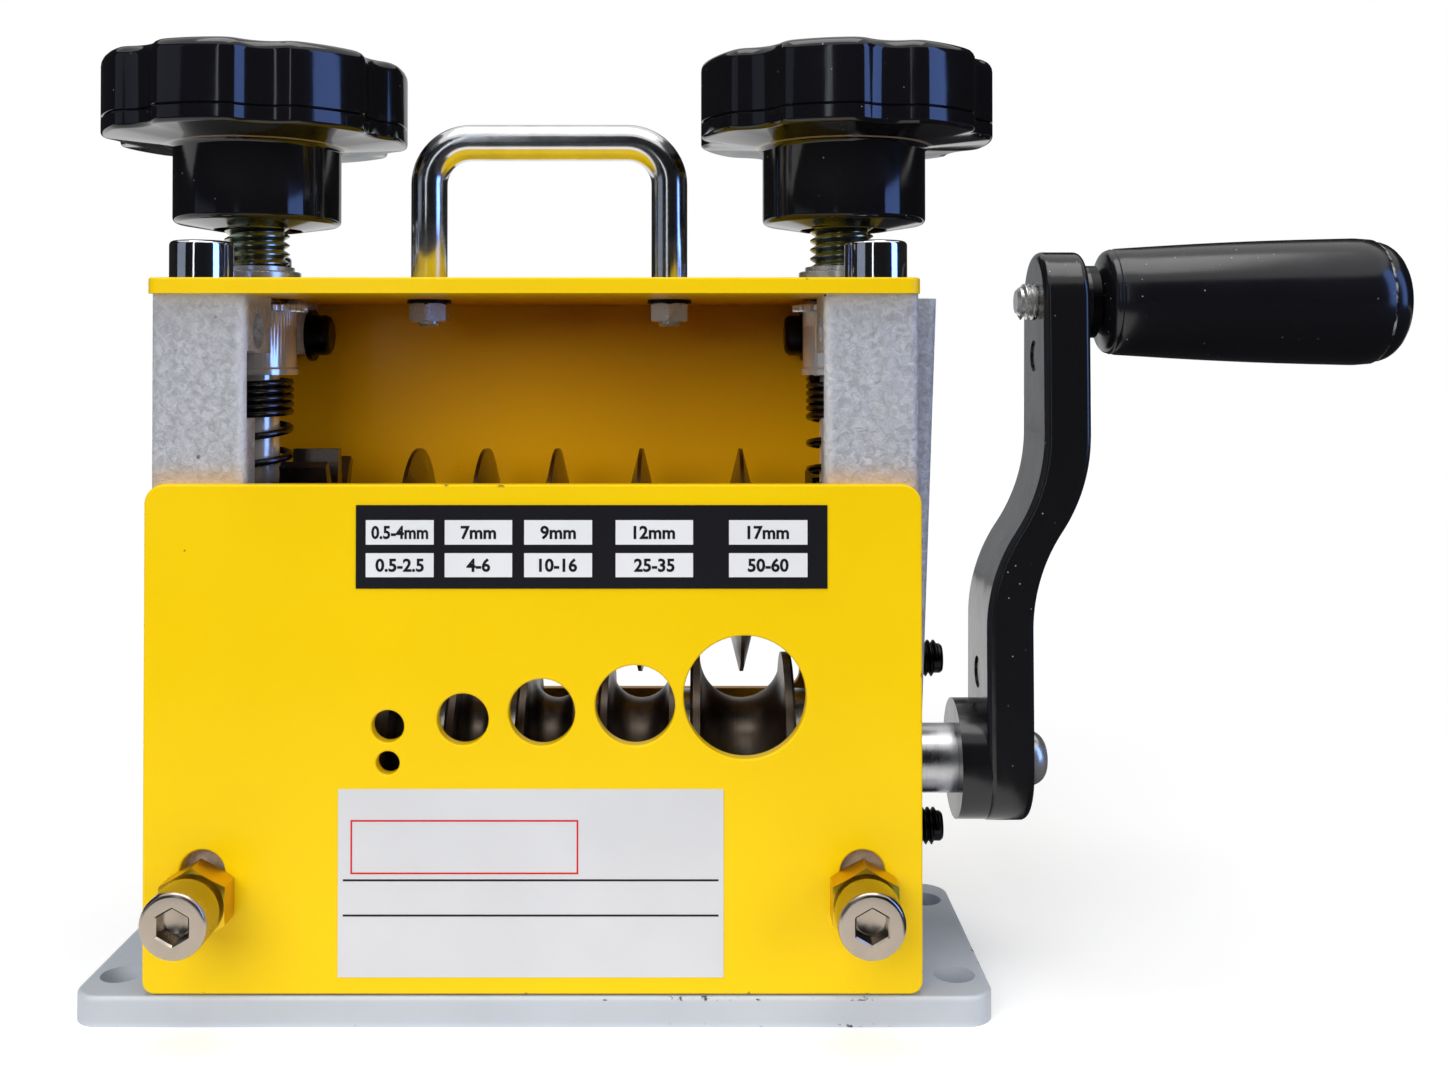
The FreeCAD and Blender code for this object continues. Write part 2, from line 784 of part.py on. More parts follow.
def drill_side(body, side, y, radius, depth):
    """One hole into the inner side of a column."""
    hole = new_sketch(body, "YZ_Plane", to_side(side, "column_inner"))
    circle(hole, y, "side_hole_height", radius)
    face_in(pocket(body, hole, depth), -side)


def face_in(cut, side):
    """A cut from a sketch that faces +X runs towards -X, so turn it for the other side."""
    cut.Reversed = side < 0


def plate(name, face, draw_holes):
    """A flat sheet on the columns.  Its outer face is a given distance in front of the middle."""
    is_front = value(face) > 0
    body = new_body(name)
    sketch = new_sketch(body, "XZ_Plane", face)
    rounded_rectangle(sketch, "-housing_length / 2", "housing_length / 2", "plate_foot",
                      "plate_top", "plate_corner_foot", "plate_corner_top")
    pad(body, sketch, "plate_thickness").Reversed = is_front
    holes = new_sketch(body, "XZ_Plane", face)
    draw_holes(holes)
    pocket(body, holes, "plate_thickness").Reversed = not is_front
    round_edges(body, "sheet_edge_round", lambda edge: at_level(edge, "Y", -value(face)))
    publish(body, name)


def entry_holes(sketch):
    for lane in LANES:
        circle(sketch, "lane_%d" % lane, "entry_height_%d" % lane, "entry_radius_%d" % lane)
    circle(sketch, "lane_1", "small_entry_height", "small_entry_radius")
    for side in SIDES.values():
        slot(sketch, to_side(side, "front_bolt_x"))


def slot(sketch, x):
    """An upright slot with round ends."""
    low = "slot_floor + slot_half_width"
    high = "slot_floor + slot_height - slot_half_width"
    left = x + " - slot_half_width"
    right = x + " + slot_half_width"
    outline(sketch, (left, low), [
        (right, low, x, low, 1), (right, high), (left, high, x, high, 1), (left, low)])


def exit_window(sketch):
    rounded_rectangle(sketch, "-exit_left", "exit_right", "exit_floor",
                      "exit_floor + exit_height", "exit_corner", "exit_corner")
    for side in SIDES.values():
        for height in ("rear_screw_lower", "rear_screw_upper"):
            circle(sketch, to_side(side, "rear_screw_x"), height, "m5_radius + thread_gap")


def top_cover():
    """A folded sheet: the deck over the columns and a flange down their rear."""
    body = new_body("top_cover")
    deck = new_sketch(body, "YZ_Plane")
    half = "housing_depth / 2"
    low = "plate_top"
    outline(deck, (minus(half), "cover_top"), [
        (minus(half), "column_top"), ("column_half_depth", "column_top"),
        ("column_half_depth", low), (half, low),
        (half, "cover_top - flange_bend"),
        (half + " - flange_bend", "cover_top", half + " - flange_bend",
         "cover_top - flange_bend", 1),
        (minus(half), "cover_top")])
    pad(body, deck, "housing_length", both_ways=True)
    holes = new_sketch(body, "XY_Plane", "cover_top")
    for side in SIDES.values():
        circle(holes, to_side(side, "stack_offset"), "0", "bushing_radius + thread_gap")
        circle(holes, to_side(side, "handle_spacing / 2"), "0", "m5_radius + thread_gap")
        for y in ("-cap_screw_y", "cap_screw_y"):
            circle(holes, to_side(side, "cap_screw_x"), y, "m8_radius + thread_gap")
    pocket(body, holes, "cover_thickness")
    front = -value(half)
    round_edges(body, "plate_corner_foot", lambda edge: runs_along(edge, "Z")
                and abs(edge.CenterOfMass.y - front) < SMALL)
    round_edges(body, "sheet_edge_round", lambda edge: at_level(edge, "Z", value("cover_top"))
                and edge.BoundBox.YMin < -value("cap_screw_y + m8_head_radius"))
    publish(body, "top_cover")


def labels():
    """The stuck-on size chart and the blank label below it."""
    places = {"size_chart": "chart", "blank_label": "label"}
    for name, prefix in places.items():
        body = new_body(name)
        sketch = new_sketch(body, "XZ_Plane", "housing_depth / 2")
        left, floor = prefix + "_left", prefix + "_floor"
        rectangle(sketch, left, left + " + " + prefix + "_length",
                  floor, floor + " + " + prefix + "_height")
        pad(body, sketch, "label_thickness")
        publish(body, name)


# ---------------------------------------------------------------- housing fasteners

def housing_fasteners():
    caps = []
    bolts = []
    nuts = []
    rear = []
    side_screws = []
    washers = []
    for side in SIDES.values():
        for y in ("-cap_screw_y", "cap_screw_y"):
            screw = m8_screw("top_cap_screw", "cap_screw_length")
            caps.append(place(screw, to_side(side, "cap_screw_x"), y, "cover_top"))
        bolt = m8_screw("front_screw", "m8_nut_height + front_bolt_stand_off + plate_thickness"
                        " + front_bolt_depth")
        seat = "-(housing_depth / 2 + m8_nut_height + front_bolt_stand_off)"
        bolts.append(place(bolt, to_side(side, "front_bolt_x"), seat, "front_bolt_height", FRONT))
        nut = hex_nut("front_hex_nut", "m8_nut_flats", "m8_nut_height", "m8_radius + thread_gap")
        nuts.append(place(nut, to_side(side, "front_bolt_x"), "-housing_depth / 2",
                          "front_bolt_height", FRONT))
        for height in ("rear_screw_lower", "rear_screw_upper"):
            screw = button_screw("rear_plate_screw", "plate_thickness + rear_screw_depth")
            rear.append(place(screw, to_side(side, "rear_screw_x"), "housing_depth / 2", height,
                              REAR))
        inward = Vector(-side, 0, 0)
        washer = tube("side_screw_washer", "Z", "0", "side_washer_height",
                      "m6_radius + thread_gap", "side_washer_radius")
        washers.append(place(washer, to_side(side, "column_inner"), "side_hole_y",
                             "side_hole_height", inward))
        screw = turned("side_screw", "Z", [
            ("0", "-side_washer_height - side_screw_depth"),
            ("m6_radius", "-side_washer_height - side_screw_depth"),
            ("m6_radius", "0"), ("side_screw_head_radius", "0"),
            ("side_screw_head_radius", "side_screw_head_height"), ("0", "side_screw_head_height")])
        round_edges(screw, "2 * head_round",
                    lambda edge: at_level(edge, "Z", value("side_screw_head_height")))
        side_screws.append(place(screw, to_side(side, "column_inner - side_washer_height"),
                                 "side_hole_y", "side_hole_height", inward))
    group("top_cap_screws", caps)
    group("front_screws", bolts)
    group("front_hex_nuts", nuts)
    group("rear_plate_screws", rear)
    group("side_screws", side_screws)
    group("side_screw_washers", washers)


def m8_screw(name, length):
    return socket_screw(name, "m8_head_radius", "m8_head_height", "m8_radius", length,
                        "m8_socket_flats", "m8_socket_depth")


def button_screw(name, length):
    return socket_screw(name, "button_radius", "button_height", "m5_radius", length,
                        "button_flats", "button_socket")


def lock_screws():
    """Two set screws in the outer side of the crank side's column."""
    made = []
    for height in ("lock_screw_lower", "lock_screw_upper"):
        body = tube("bearing_lock_screw", "Z", "-lock_screw_length", "0", "0", "m8_radius")
        round_edges(body, "head_round", lambda edge: at_level(edge, "Z", 0))
        socket = new_sketch(body, "XY_Plane")
        hexagon(socket, "lock_screw_flats")
        pocket(body, socket, "lock_screw_socket")
        made.append(place(body, "column_outer + lock_screw_end", "0", height, Vector(1, 0, 0)))
    group("bearing_lock_screws", made)


def carry_handle():
    """A bent bar with a thinner threaded stud at each foot."""
    body = new_body("carry_handle")
    path = new_sketch(body, "XZ_Plane")
    half = value("handle_spacing / 2")
    foot, top = value("cover_top"), value("cover_top + handle_height - handle_radius")
    bend = value("handle_bend")
    handle_path(path, half, foot, top, bend)
    section = new_sketch(body, "XY_Plane", "cover_top")
    circle(section, "-handle_spacing / 2", "0", "handle_radius")
    bar = body.newObject("PartDesign::AdditivePipe", "carry_handle_bar")
    bar.Profile = section
    bar.Spine = (path, [])
    studs = new_sketch(body, "XY_Plane", "cover_top - stud_length")
    for side in SIDES.values():
        circle(studs, to_side(side, "handle_spacing / 2"), "0", "m5_radius")
    pad(body, studs, "stud_length")
    publish(body, "carry_handle")
    nuts = []
    washers = []
    for side in SIDES.values():
        x = to_side(side, "handle_spacing / 2")
        washer = tube("handle_washer", "Z", "0", "handle_washer_height",
                      "m5_radius + thread_gap", "handle_washer_radius")
        washers.append(place(washer, x, "0", "column_top", DOWN))
        nut = hex_nut("handle_nut", "m5_nut_flats", "m5_nut_height", "m5_radius + thread_gap")
        nuts.append(place(nut, x, "0", "column_top - handle_washer_height", DOWN))
    group("handle_washers", washers)
    group("handle_nuts", nuts)


def handle_path(path, half, foot, top, bend):
    """The open centre line of the handle: two legs, two bends and the bar between them."""
    legs = [(-half, foot), (-half, top - bend), (-half + bend, top), (half - bend, top),
            (half, top - bend), (half, foot)]
    points = [Vector(x, z, 0) for x, z in legs]
    lines = [path.addGeometry(Part.LineSegment(points[n], points[n + 1]), False)
             for n in (0, 2, 4)]
    left = Part.Circle(Vector(-half + bend, top - bend, 0), UP, bend)
    right = Part.Circle(Vector(half - bend, top - bend, 0), UP, bend)
    left_bend = path.addGeometry(Part.ArcOfCircle(left, math.pi / 2, math.pi), False)
    right_bend = path.addGeometry(Part.ArcOfCircle(right, 0, math.pi / 2), False)
    tangents = [(lines[0], 2, left_bend, 2), (left_bend, 1, lines[1], 1),
                (lines[1], 2, right_bend, 2), (right_bend, 1, lines[2], 1)]
    for first, end, second, begin in tangents:
        path.addConstraint(Sketcher.Constraint("Tangent", first, end, second, begin))
    hold_point(path, lines[0], 1, "-handle_spacing / 2", "cover_top")
    hold_point(path, lines[2], 2, "handle_spacing / 2", "cover_top")
    hold(path, "DistanceY", lines[1], 1, "cover_top + handle_height - handle_radius", top)
    path.addConstraint(Sketcher.Constraint("Vertical", lines[0]))
    path.addConstraint(Sketcher.Constraint("Vertical", lines[2]))
    path.addConstraint(Sketcher.Constraint("Equal", left_bend, right_bend))
    index = path.addConstraint(Sketcher.Constraint("Radius", left_bend, bend))
    path.setExpression("Constraints[%d]" % index, bind("handle_bend"))


# ---------------------------------------------------------------- pressure screw stack

def pressure_stack(name, side):
    x = to_side(side, "stack_offset")
    knob(name + "_knob", x)
    screw = turned(name + "_pressure_screw", "Z", [
        ("0", "sleeve_top"), ("screw_radius", "sleeve_top"),
        ("screw_radius", "knob_foot + screw_in_knob"), ("0", "knob_foot + screw_in_knob")])
    round_edges(screw, "head_round", lambda edge: at_level(edge, "Z", value("sleeve_top")),
                "Chamfer")
    publish(place(screw, x), name + "_pressure_screw")
    bore = "rod_radius + 2 * running_gap"
    sleeve = turned(name + "_sleeve", "Z", [
        (bore, "sleeve_foot"), ("sleeve_radius + sleeve_lip", "sleeve_foot"),
        ("sleeve_radius + sleeve_lip", "sleeve_foot + sleeve_lip_height"),
        ("sleeve_radius", "sleeve_foot + sleeve_lip_height + sleeve_lip"),
        ("sleeve_radius", "sleeve_top"), (bore, "sleeve_top")])
    publish(place(sleeve, x), name + "_sleeve")
    lock_ring(name + "_lock_ring", x)
    rod = tube(name + "_guide_rod", "Z", "spring_seat - rod_foot",
               "spring_seat - rod_foot + rod_length", "0", "rod_radius")
    round_edges(rod, "head_round / 2",
                lambda edge: at_level(edge, "Z", value("spring_seat - rod_foot + rod_length")))
    publish(place(rod, x), name + "_guide_rod")
    spring(name + "_spring", x)


def knob(name, x):
    """A lobed knob on a round hub, from z = 0 at the hub's foot."""
    body = turned(name, "Z", [
        ("0", "screw_in_knob"), ("screw_radius + running_gap", "screw_in_knob"),
        ("screw_radius + running_gap", "hub_recess_depth"),
        ("hub_recess_radius", "hub_recess_depth"), ("hub_recess_radius", "0"),
        ("hub_radius", "0"), ("hub_radius", "hub_height"), ("knob_radius", "hub_height"),
        ("knob_radius", "hub_height + knob_height"), ("0", "hub_height + knob_height")])
    scallop = new_sketch(body, "XY_Plane", "hub_height + knob_height")
    circle(scallop, "scallop_offset * cos(90 + 180 / knob_lobes)",
           "scallop_offset * sin(90 + 180 / knob_lobes)", "scallop_radius")
    ring_pattern(body, pocket(body, scallop, "knob_height"), scallop, "knob_lobes")
    round_edges(body, "scallop_blend", lambda edge: runs_along(edge, "Z")
                and math.hypot(*edge.CenterOfMass[:2]) > value("hub_radius"))
    top = value("hub_height + knob_height")
    lower = value("hub_height")
    round_edges(body, "knob_edge_round", lambda edge: at_level(edge, "Z", top)
                or at_level(edge, "Z", lower) and not hub_ring(edge))
    round_edges(body, "hub_edge_round", lambda edge: at_level(edge, "Z", 0) and hub_ring(edge))
    publish(place(body, x, "0", "knob_foot", twist=value(name + "_angle")), name)


def hub_ring(edge):
    radius = edge.BoundBox.XLength / 2
    return abs(radius - value("hub_radius")) < SMALL


def lock_ring(name, x):
    """A flat ring with teeth round its edge."""
    body = tube(name, "Z", "sleeve_top - lock_ring_height", "sleeve_top",
                "sleeve_radius + running_gap", "spline_radius")
    tooth = new_sketch(body, "XY_Plane", "sleeve_top - lock_ring_height")
    rectangle(tooth, "spline_radius - merge_depth", "lock_ring_radius",
              "-lock_ring_tooth_width / 2", "lock_ring_tooth_width / 2")
    ring_pattern(body, pad(body, tooth, "lock_ring_height"), tooth, "lock_ring_teeth")
    publish(place(body, x), name)


def spring(name, x):
    """A compression spring: closed coils under the sleeve, open coils down to the block."""
    body = new_body(name)
    closed = "(closed_coils * closed_pitch)"
    foot = "spring_seat + wire_radius"
    joint = "sleeve_foot - wire_radius - " + closed
    coils(body, "spring_radius", "wire_radius", joint, closed, "closed_coils")
    coils(body, "spring_radius", "wire_radius", foot, joint + " - (" + foot + ")", "open_coils")
    publish(place(body, x), name)


def coils(body, outer, wire, start, height, turns):
    """A right-handed helix of round wire about Z, from the middle of the wire at its start."""
    section = new_sketch(body, "XZ_Plane")
    circle(section, outer + " - " + wire, start, wire)
    made = body.newObject("PartDesign::AdditiveHelix", body.Name + "_coils")
    made.Profile = section
    made.ReferenceAxis = (section, ["V_Axis"])
    made.Mode = "height-turns-angle"
    made.setExpression("Height", bind(height))
    made.setExpression("Turns", bind(turns))


def return_springs():
    """Short springs under the bearing blocks, which lift the blades when a knob is let up."""
    made = []
    foot = "channel_floor + return_wire_radius"
    for side in SIDES.values():
        body = new_body("return_spring")
        coils(body, "return_spring_radius", "return_wire_radius", foot,
              "block_foot - return_wire_radius - (" + foot + ")", "return_coils")
        made.append(place(body, to_side(side, "stack_offset")))
    group("return_springs", made)


def screw_bushings():
    """Threaded bushes in the cover, each with a flange and a small collar on top."""
    made = []
    bore = "screw_radius + running_gap"
    flange_top = "cover_top + bushing_flange_height"
    for side in SIDES.values():
        body = turned("screw_bushing", "Z", [
            (bore, "column_top"), ("bushing_radius", "column_top"),
            ("bushing_radius", "cover_top"), ("bushing_flange_radius", "cover_top"),
            ("bushing_flange_radius", flange_top), ("bushing_collar_radius", flange_top),
            ("bushing_collar_radius", flange_top + " + bushing_collar_height"),
            (bore, flange_top + " + bushing_collar_height")])
        round_edges(body, "head_round / 2", lambda edge: at_level(edge, "Z", value(flange_top))
                    and edge.BoundBox.XLength > 2 * value("bushing_flange_radius") - SMALL)
        made.append(place(body, to_side(side, "stack_offset")))
    group("screw_bushings", made)


# ---------------------------------------------------------------- blade carriage

def bearing_block(name, side):
    """A sliding block with the blade shaft's bush, the rod's foot and the spring's pocket."""
    body = new_body(name)
    low, high = span(side, "block_inner", "block_outer")
    sketch = new_sketch(body, "XY_Plane", "block_foot")
    rectangle(sketch, low, high, "-channel_front + block_gap", "column_half_depth - block_gap")
    pad(body, sketch, "block_height")
    bore = new_sketch(body, "YZ_Plane", to_side(side, "block_outer"))
    circle(bore, "0", "blade_axis", "bush_radius + running_gap")
    face_in(pocket(body, bore, "block_outer - block_inner"), side)
    x = to_side(side, "stack_offset")
    seats = [("block_top", "spring_radius + block_gap", "spring_pocket_depth"),
             ("spring_seat", "rod_radius + running_gap", "rod_foot")]
    for level, radius, depth in seats:
        hole = new_sketch(body, "XY_Plane", level)
        circle(hole, x, "0", radius)
        pocket(body, hole, depth)
    publish(body, name)


def bushes(label, axis, near, far):
    """Plain bushes for one shaft, one at each side."""
    made = []
    for side in SIDES.values():
        low, high = span(side, near, far)
        body = tube(label + "_bush", "X", low, high, "shaft_radius + running_gap", "bush_radius")
        made.append(place(body, z=axis))
    group(label, made)


def blade_shaft():
    body = tube("blade_shaft", "X", "-block_outer + shaft_end_gap",
                "block_outer - shaft_end_gap", "0", "shaft_radius")
    publish(place(body, z="blade_axis"), "blade_shaft")


def blade(lane):
    """A disc bevelled on both sides to a narrow edge."""
    centre = "lane_%d" % lane
    half = "blade_thickness / 2"
    edge = "blade_edge / 2"
    shoulder = "blade_radius - (blade_thickness - blade_edge) / 2 / tan(blade_bevel)"
    bore = "shaft_radius + running_gap"
    body = turned("blade_%d" % lane, "X", [
        (centre + " - " + half, bore), (centre + " + " + half, bore),
        (centre + " + " + half, shoulder), (centre + " + " + edge, "blade_radius"),
        (centre + " - " + edge, "blade_radius"), (centre + " - " + half, shoulder)])
    publish(place(body, z="blade_axis"), "blade_%d" % lane)


def spacers(label, axis, stops, radius, first, last):
    """Tubes that fill a shaft between what sits on it."""
    made = []
    starts = [first] + [stop[1] for stop in stops]
    ends = [stop[0] for stop in stops] + [last]
    for start, end in zip(starts, ends):
        body = tube(label + "_tube", "X", start, end, "shaft_radius + running_gap", radius)
        made.append(place(body, z=axis))
    group(label, made)


def gear(name, axis):
    """A coarse gear with a hub on its inner side.  One tooth points up."""
    body = tube(name, "X", "-gear_left", "-gear_right", "shaft_radius + running_gap",
                "gear_root_radius")
    tooth = new_sketch(body, "YZ_Plane", "-gear_left")
    polygon(tooth, [
        ("-tooth_root_width / 2", "gear_root_radius - merge_depth"),
        ("tooth_root_width / 2", "gear_root_radius - merge_depth"),
        ("tooth_tip_width / 2", "gear_tip_radius"), ("-tooth_tip_width / 2", "gear_tip_radius")])
    ring_pattern(body, pad(body, tooth, "gear_width"), tooth, "gear_teeth")
    hub = new_sketch(body, "YZ_Plane", "-gear_right")
    circle(hub, "0", "0", "gear_hub_radius")
    circle(hub, "0", "0", "shaft_radius + running_gap")
    pad(body, hub, "gear_hub_width")
    publish(place(body, z=axis), name)


# ---------------------------------------------------------------- rollers and crank

def roller(lane):
    """A roller whose round-bottomed groove carries one size of wire."""
    centre, radius = "lane_%d" % lane, "groove_radius_%d" % lane
    half = "roller_width_%d / 2" % lane
    bore = "shaft_radius + running_gap"
    body = new_body("feed_roller_%d" % lane)
    sketch = new_sketch(body, "XZ_Plane")
    left, right = centre + " - ", centre + " + "
    rim = "roller_radius - roller_edge"
    bend = "groove_floor + " + radius
    outline(sketch, (left + half, bore), [
        (right + half, bore), (right + half, rim),
        (right + half + " - roller_edge", "roller_radius"),
        (right + radius, "roller_radius"), (right + radius, bend),
        (left + radius, bend, centre, bend, -1), (left + radius, "roller_radius"),
        (left + half + " + roller_edge", "roller_radius"), (left + half, rim),
        (left + half, bore)])
    turn(body, sketch, "H_Axis")
    publish(place(body, z="roller_axis"), "feed_roller_%d" % lane)


def drive_shaft():
    """The crank's shaft, thinner where the crank sits and tapped for the crank's screw."""
    step = "crank_inner - crank_spacer_length"
    end = "arm_outer - shaft_end_gap"
    body = turned("drive_shaft", "X", [
        ("-column_outer", "0"), (end + " - crank_screw_depth", "0"),
        (end + " - crank_screw_depth", "m6_radius + thread_gap"),
        (end, "m6_radius + thread_gap"), (end, "crank_journal_radius"),
        (step, "crank_journal_radius"), (step, "shaft_radius"), ("-column_outer", "shaft_radius")])
    publish(place(body, z="roller_axis"), "drive_shaft")
    spacer = tube("crank_spacer", "X", step, "crank_inner",
                  "crank_journal_radius + running_gap", "shaft_radius")
    publish(place(spacer, z="roller_axis"), "crank_spacer")


def crank_arm():
    """A cast arm with one shallow S-bend, seen as a bar from its side and tapered from its end."""
    bar = new_body("crank_bar")
    profile = new_sketch(bar, "XZ_Plane")
    start = "roller_axis + arm_bend_start"
    end = start + " + arm_bend_height"
    middle = start + " + arm_bend_height / 2"
    top = "grip_axis + arm_tip_radius"
    foot = "roller_axis - arm_foot_radius"
    bend = "(arm_offset ^ 2 + arm_bend_height ^ 2) / (4 * arm_offset)"
    centre_line = "arm_inner + arm_offset / 2"
    outline(profile, ("arm_inner", foot), [
        ("arm_outer", foot), ("arm_outer", start),
        (centre_line + " + arm_thickness", middle, "arm_outer + " + bend, start, -1),
        ("upper_arm_outer", end, "upper_arm_outer - " + bend, end, 1),
        ("upper_arm_outer", top), ("upper_arm_inner", top), ("upper_arm_inner", end),
        (centre_line, middle, "upper_arm_inner - " + bend, end, -1),
        ("arm_inner", start, "arm_inner + " + bend, start, 1), ("arm_inner", foot)])
    pad(bar, profile, "2 * arm_foot_radius", both_ways=True)
    face = new_body("crank_face")
    taper = new_sketch(face, "YZ_Plane", "crank_inner")
    outline(taper, ("arm_tip_radius", "grip_axis"), [
        ("-arm_tip_radius", "grip_axis", "0", "grip_axis", 1),
        ("-arm_foot_radius", "roller_axis"),
        ("arm_foot_radius", "roller_axis", "0", "roller_axis", 1),
        ("arm_tip_radius", "grip_axis")])
    pad(face, taper, "arm_boss_outer - crank_inner")
    arm = doc.addObject("Part::Common", "crank_web")
    arm.Base = bar
    arm.Tool = face
    rounded = doc.addObject("Part::Fillet", "crank_rounded")
    rounded.Base = arm
    doc.recompute()
    radius = value("arm_edge_round")
    rounded.Edges = [(n, radius, radius) for n, edge in enumerate(arm.Shape.Edges, 1)
                     if not runs_along(edge, "X")]
    hub = bar_along_x("crank_hub", "crank_hub_radius", "crank_inner", "arm_inner + merge_depth",
                      "roller_axis")
    boss = bar_along_x("crank_boss", "arm_boss_radius", "upper_arm_outer - merge_depth",
                       "arm_boss_outer", "grip_axis")
    whole = doc.addObject("Part::MultiFuse", "crank_whole")
    whole.Shapes = [rounded, hub, boss]
    bores = doc.addObject("Part::MultiFuse", "crank_bores")
    bores.Shapes = [
        bar_along_x("crank_bore", "crank_journal_radius + running_gap",
                    "crank_inner - tool_overrun", "arm_outer + tool_overrun", "roller_axis"),
        bar_along_x("grip_bolt_bore", "m8_radius + thread_gap", "upper_arm_inner - tool_overrun",
                    "arm_boss_outer + tool_overrun", "grip_axis"),
        ejector_mark("low_mark", "arm_inner", "roller_axis + ejector_mark_low"),
        ejector_mark("high_mark", "upper_arm_inner", "grip_axis - ejector_mark_high")]
    made = doc.addObject("Part::Cut", "crank_arm")
    made.Base = whole
    made.Tool = bores
    publish(made, "crank_arm")


def ejector_mark(name, face, height):
    """A shallow round recess in the arm's inner face."""
    return bar_along_x(name, "ejector_mark_radius", face + " - tool_overrun",
                       face + " + ejector_mark_depth", height)


def bar_along_x(name, radius, start, end, height):
    bar = doc.addObject("Part::Cylinder", name)
    bar.setExpression("Radius", bind(radius))
    bar.setExpression("Height", bind("%s - (%s)" % (end, start)))
    return place(bar, start, "0", height, Vector(1, 0, 0))


def crank_fasteners():
    """The domed screw in the shaft's end and the bolt that carries the grip."""
    seat = "arm_outer"
    screw = turned("crank_screw", "X", [
        (seat + " - crank_screw_depth", "0"), (seat + " + dome_height", "0"),
        (seat + " + dome_height", "dome_radius"), (seat, "dome_radius"), (seat, "m6_radius"),
        (seat + " - crank_screw_depth", "m6_radius")])
    round_edges(screw, "dome_round",
                lambda edge: at_level(edge, "X", value(seat + " + dome_height")))
    publish(place(screw, z="roller_axis"), "crank_screw")
    bolt = turned("grip_bolt", "X", [
        ("upper_arm_inner - bolt_protrusion", "0"), ("grip_bolt_end", "0"),
        ("grip_bolt_end", "grip_bolt_head_radius"),
        ("grip_bolt_end - grip_bolt_head_height", "grip_bolt_head_radius"),
        ("grip_bolt_end - grip_bolt_head_height", "m8_radius"),
        ("upper_arm_inner - bolt_protrusion", "m8_radius")])
    round_edges(bolt, "head_round", lambda edge: at_level(
        edge, "X", value("upper_arm_inner - bolt_protrusion")), "Chamfer")
    publish(place(bolt, z="grip_axis"), "grip_bolt")


def grip():
    """The turning handle: a tapered sleeve on its bolt, closed by a cap at its far end."""
    cavity = "grip_bolt_head_radius + grip_cavity_gap"
    floor = "grip_bolt_end - grip_bolt_head_height - grip_gap"
    widest = "grip_start + grip_taper_length"
    rim = "grip_radius_far - grip_rim_step"
    body = turned("grip", "X", [
        ("grip_start", "m8_radius + 2 * running_gap"), (floor, "m8_radius + 2 * running_gap"),
        (floor, cavity), ("grip_cap_start", cavity), ("grip_cap_start", rim),
        (widest, "grip_radius_far"), ("grip_start", "grip_radius_near")])
    round_edges(body, "grip_edge_round", lambda edge: at_level(edge, "X", value("grip_start"))
                and edge.BoundBox.YLength > 2 * value("grip_washer_radius"))
    publish(place(body, z="grip_axis"), "grip")
    seat = "grip_cap_start - grip_cap_seat"
    cap = turned("grip_end_cap", "X", [
        (seat, "0"), (seat, cavity + " - running_gap"), ("grip_cap_start", cavity + " - running_gap"),
        ("grip_cap_start", rim), ("grip_end", rim), ("grip_end", "0")])
    round_edges(cap, "grip_cap_round", lambda edge: at_level(edge, "X", value("grip_end")))
    publish(place(cap, z="grip_axis"), "grip_end_cap")
    washer = tube("grip_washer", "X", "arm_boss_outer", "arm_boss_outer + grip_washer_height",
                  "m8_radius + thread_gap", "grip_washer_radius")
    publish(place(washer, z="grip_axis"), "grip_washer")


# ---------------------------------------------------------------- the whole part

def build():
    base_plate()
    foot_screws()
    plate("front_plate", "housing_depth / 2", entry_holes)
    plate("rear_plate", "-housing_depth / 2", exit_window)
    top_cover()
    labels()
    housing_fasteners()
    lock_screws()
    carry_handle()
    screw_bushings()
    return_springs()
    for name, side in SIDES.items():
        column(name + "_column", side)
        pressure_stack(name, side)
        bearing_block(name + "_bearing_block", side)
    bushes("upper_bearings", "blade_axis", "block_inner", "block_outer")
    bushes("lower_bearings", "roller_axis", "column_inner", "column_outer")
    blade_shaft()
    drive_shaft()
    gear("upper_gear", "blade_axis")
    gear("lower_gear", "roller_axis")
    for lane in LANES:
        blade(lane)
        roller(lane)
    blades = [("lane_%d - blade_thickness / 2" % lane, "lane_%d + blade_thickness / 2" % lane)
              for lane in LANES]
    rollers = [("lane_%d - roller_width_%d / 2" % (lane, lane),
                "lane_%d + roller_width_%d / 2" % (lane, lane)) for lane in LANES]
    spacers("blade_spacers", "blade_axis", blades, "blade_spacer_radius",
            "hub_end", "block_inner - shaft_end_gap")
    spacers("roller_spacers", "roller_axis", rollers, "roller_spacer_radius",
            "hub_end", "column_inner - shaft_end_gap")
    crank_arm()
    crank_fasteners()
    grip()
    doc.recompute()


def check():
    """Stop if any object failed, any sub-part is not valid or any cut removed nothing."""
    failed = [item.Name for item in doc.Objects if {"Invalid", "Error"} & set(item.State)]
    for label, made in PARTS.items():
        if made.Shape.isNull() or not made.Shape.isValid() or not made.Shape.Solids:
            failed.append(label)
    for made, before in CUTS:
        if made.Shape.Volume > before.Shape.Volume - SMALL:
            failed.append(made.Name + " cuts nothing")
    if failed:
        raise RuntimeError("failed: " + ", ".join(failed))


def export():
    os.makedirs("parts", exist_ok=True)
    for label, made in PARTS.items():
        made.Shape.exportStep(os.path.join("parts", label + ".step"))
    print(len(PARTS), "nodes written")


build()
check()
export()
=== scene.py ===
import math

import bmesh
import bpy
from bpy.props import (FloatProperty, FloatVectorProperty, IntProperty, PointerProperty,
                       StringProperty)
from bpy.types import Operator, Panel, PropertyGroup
from mathutils import Matrix, Vector


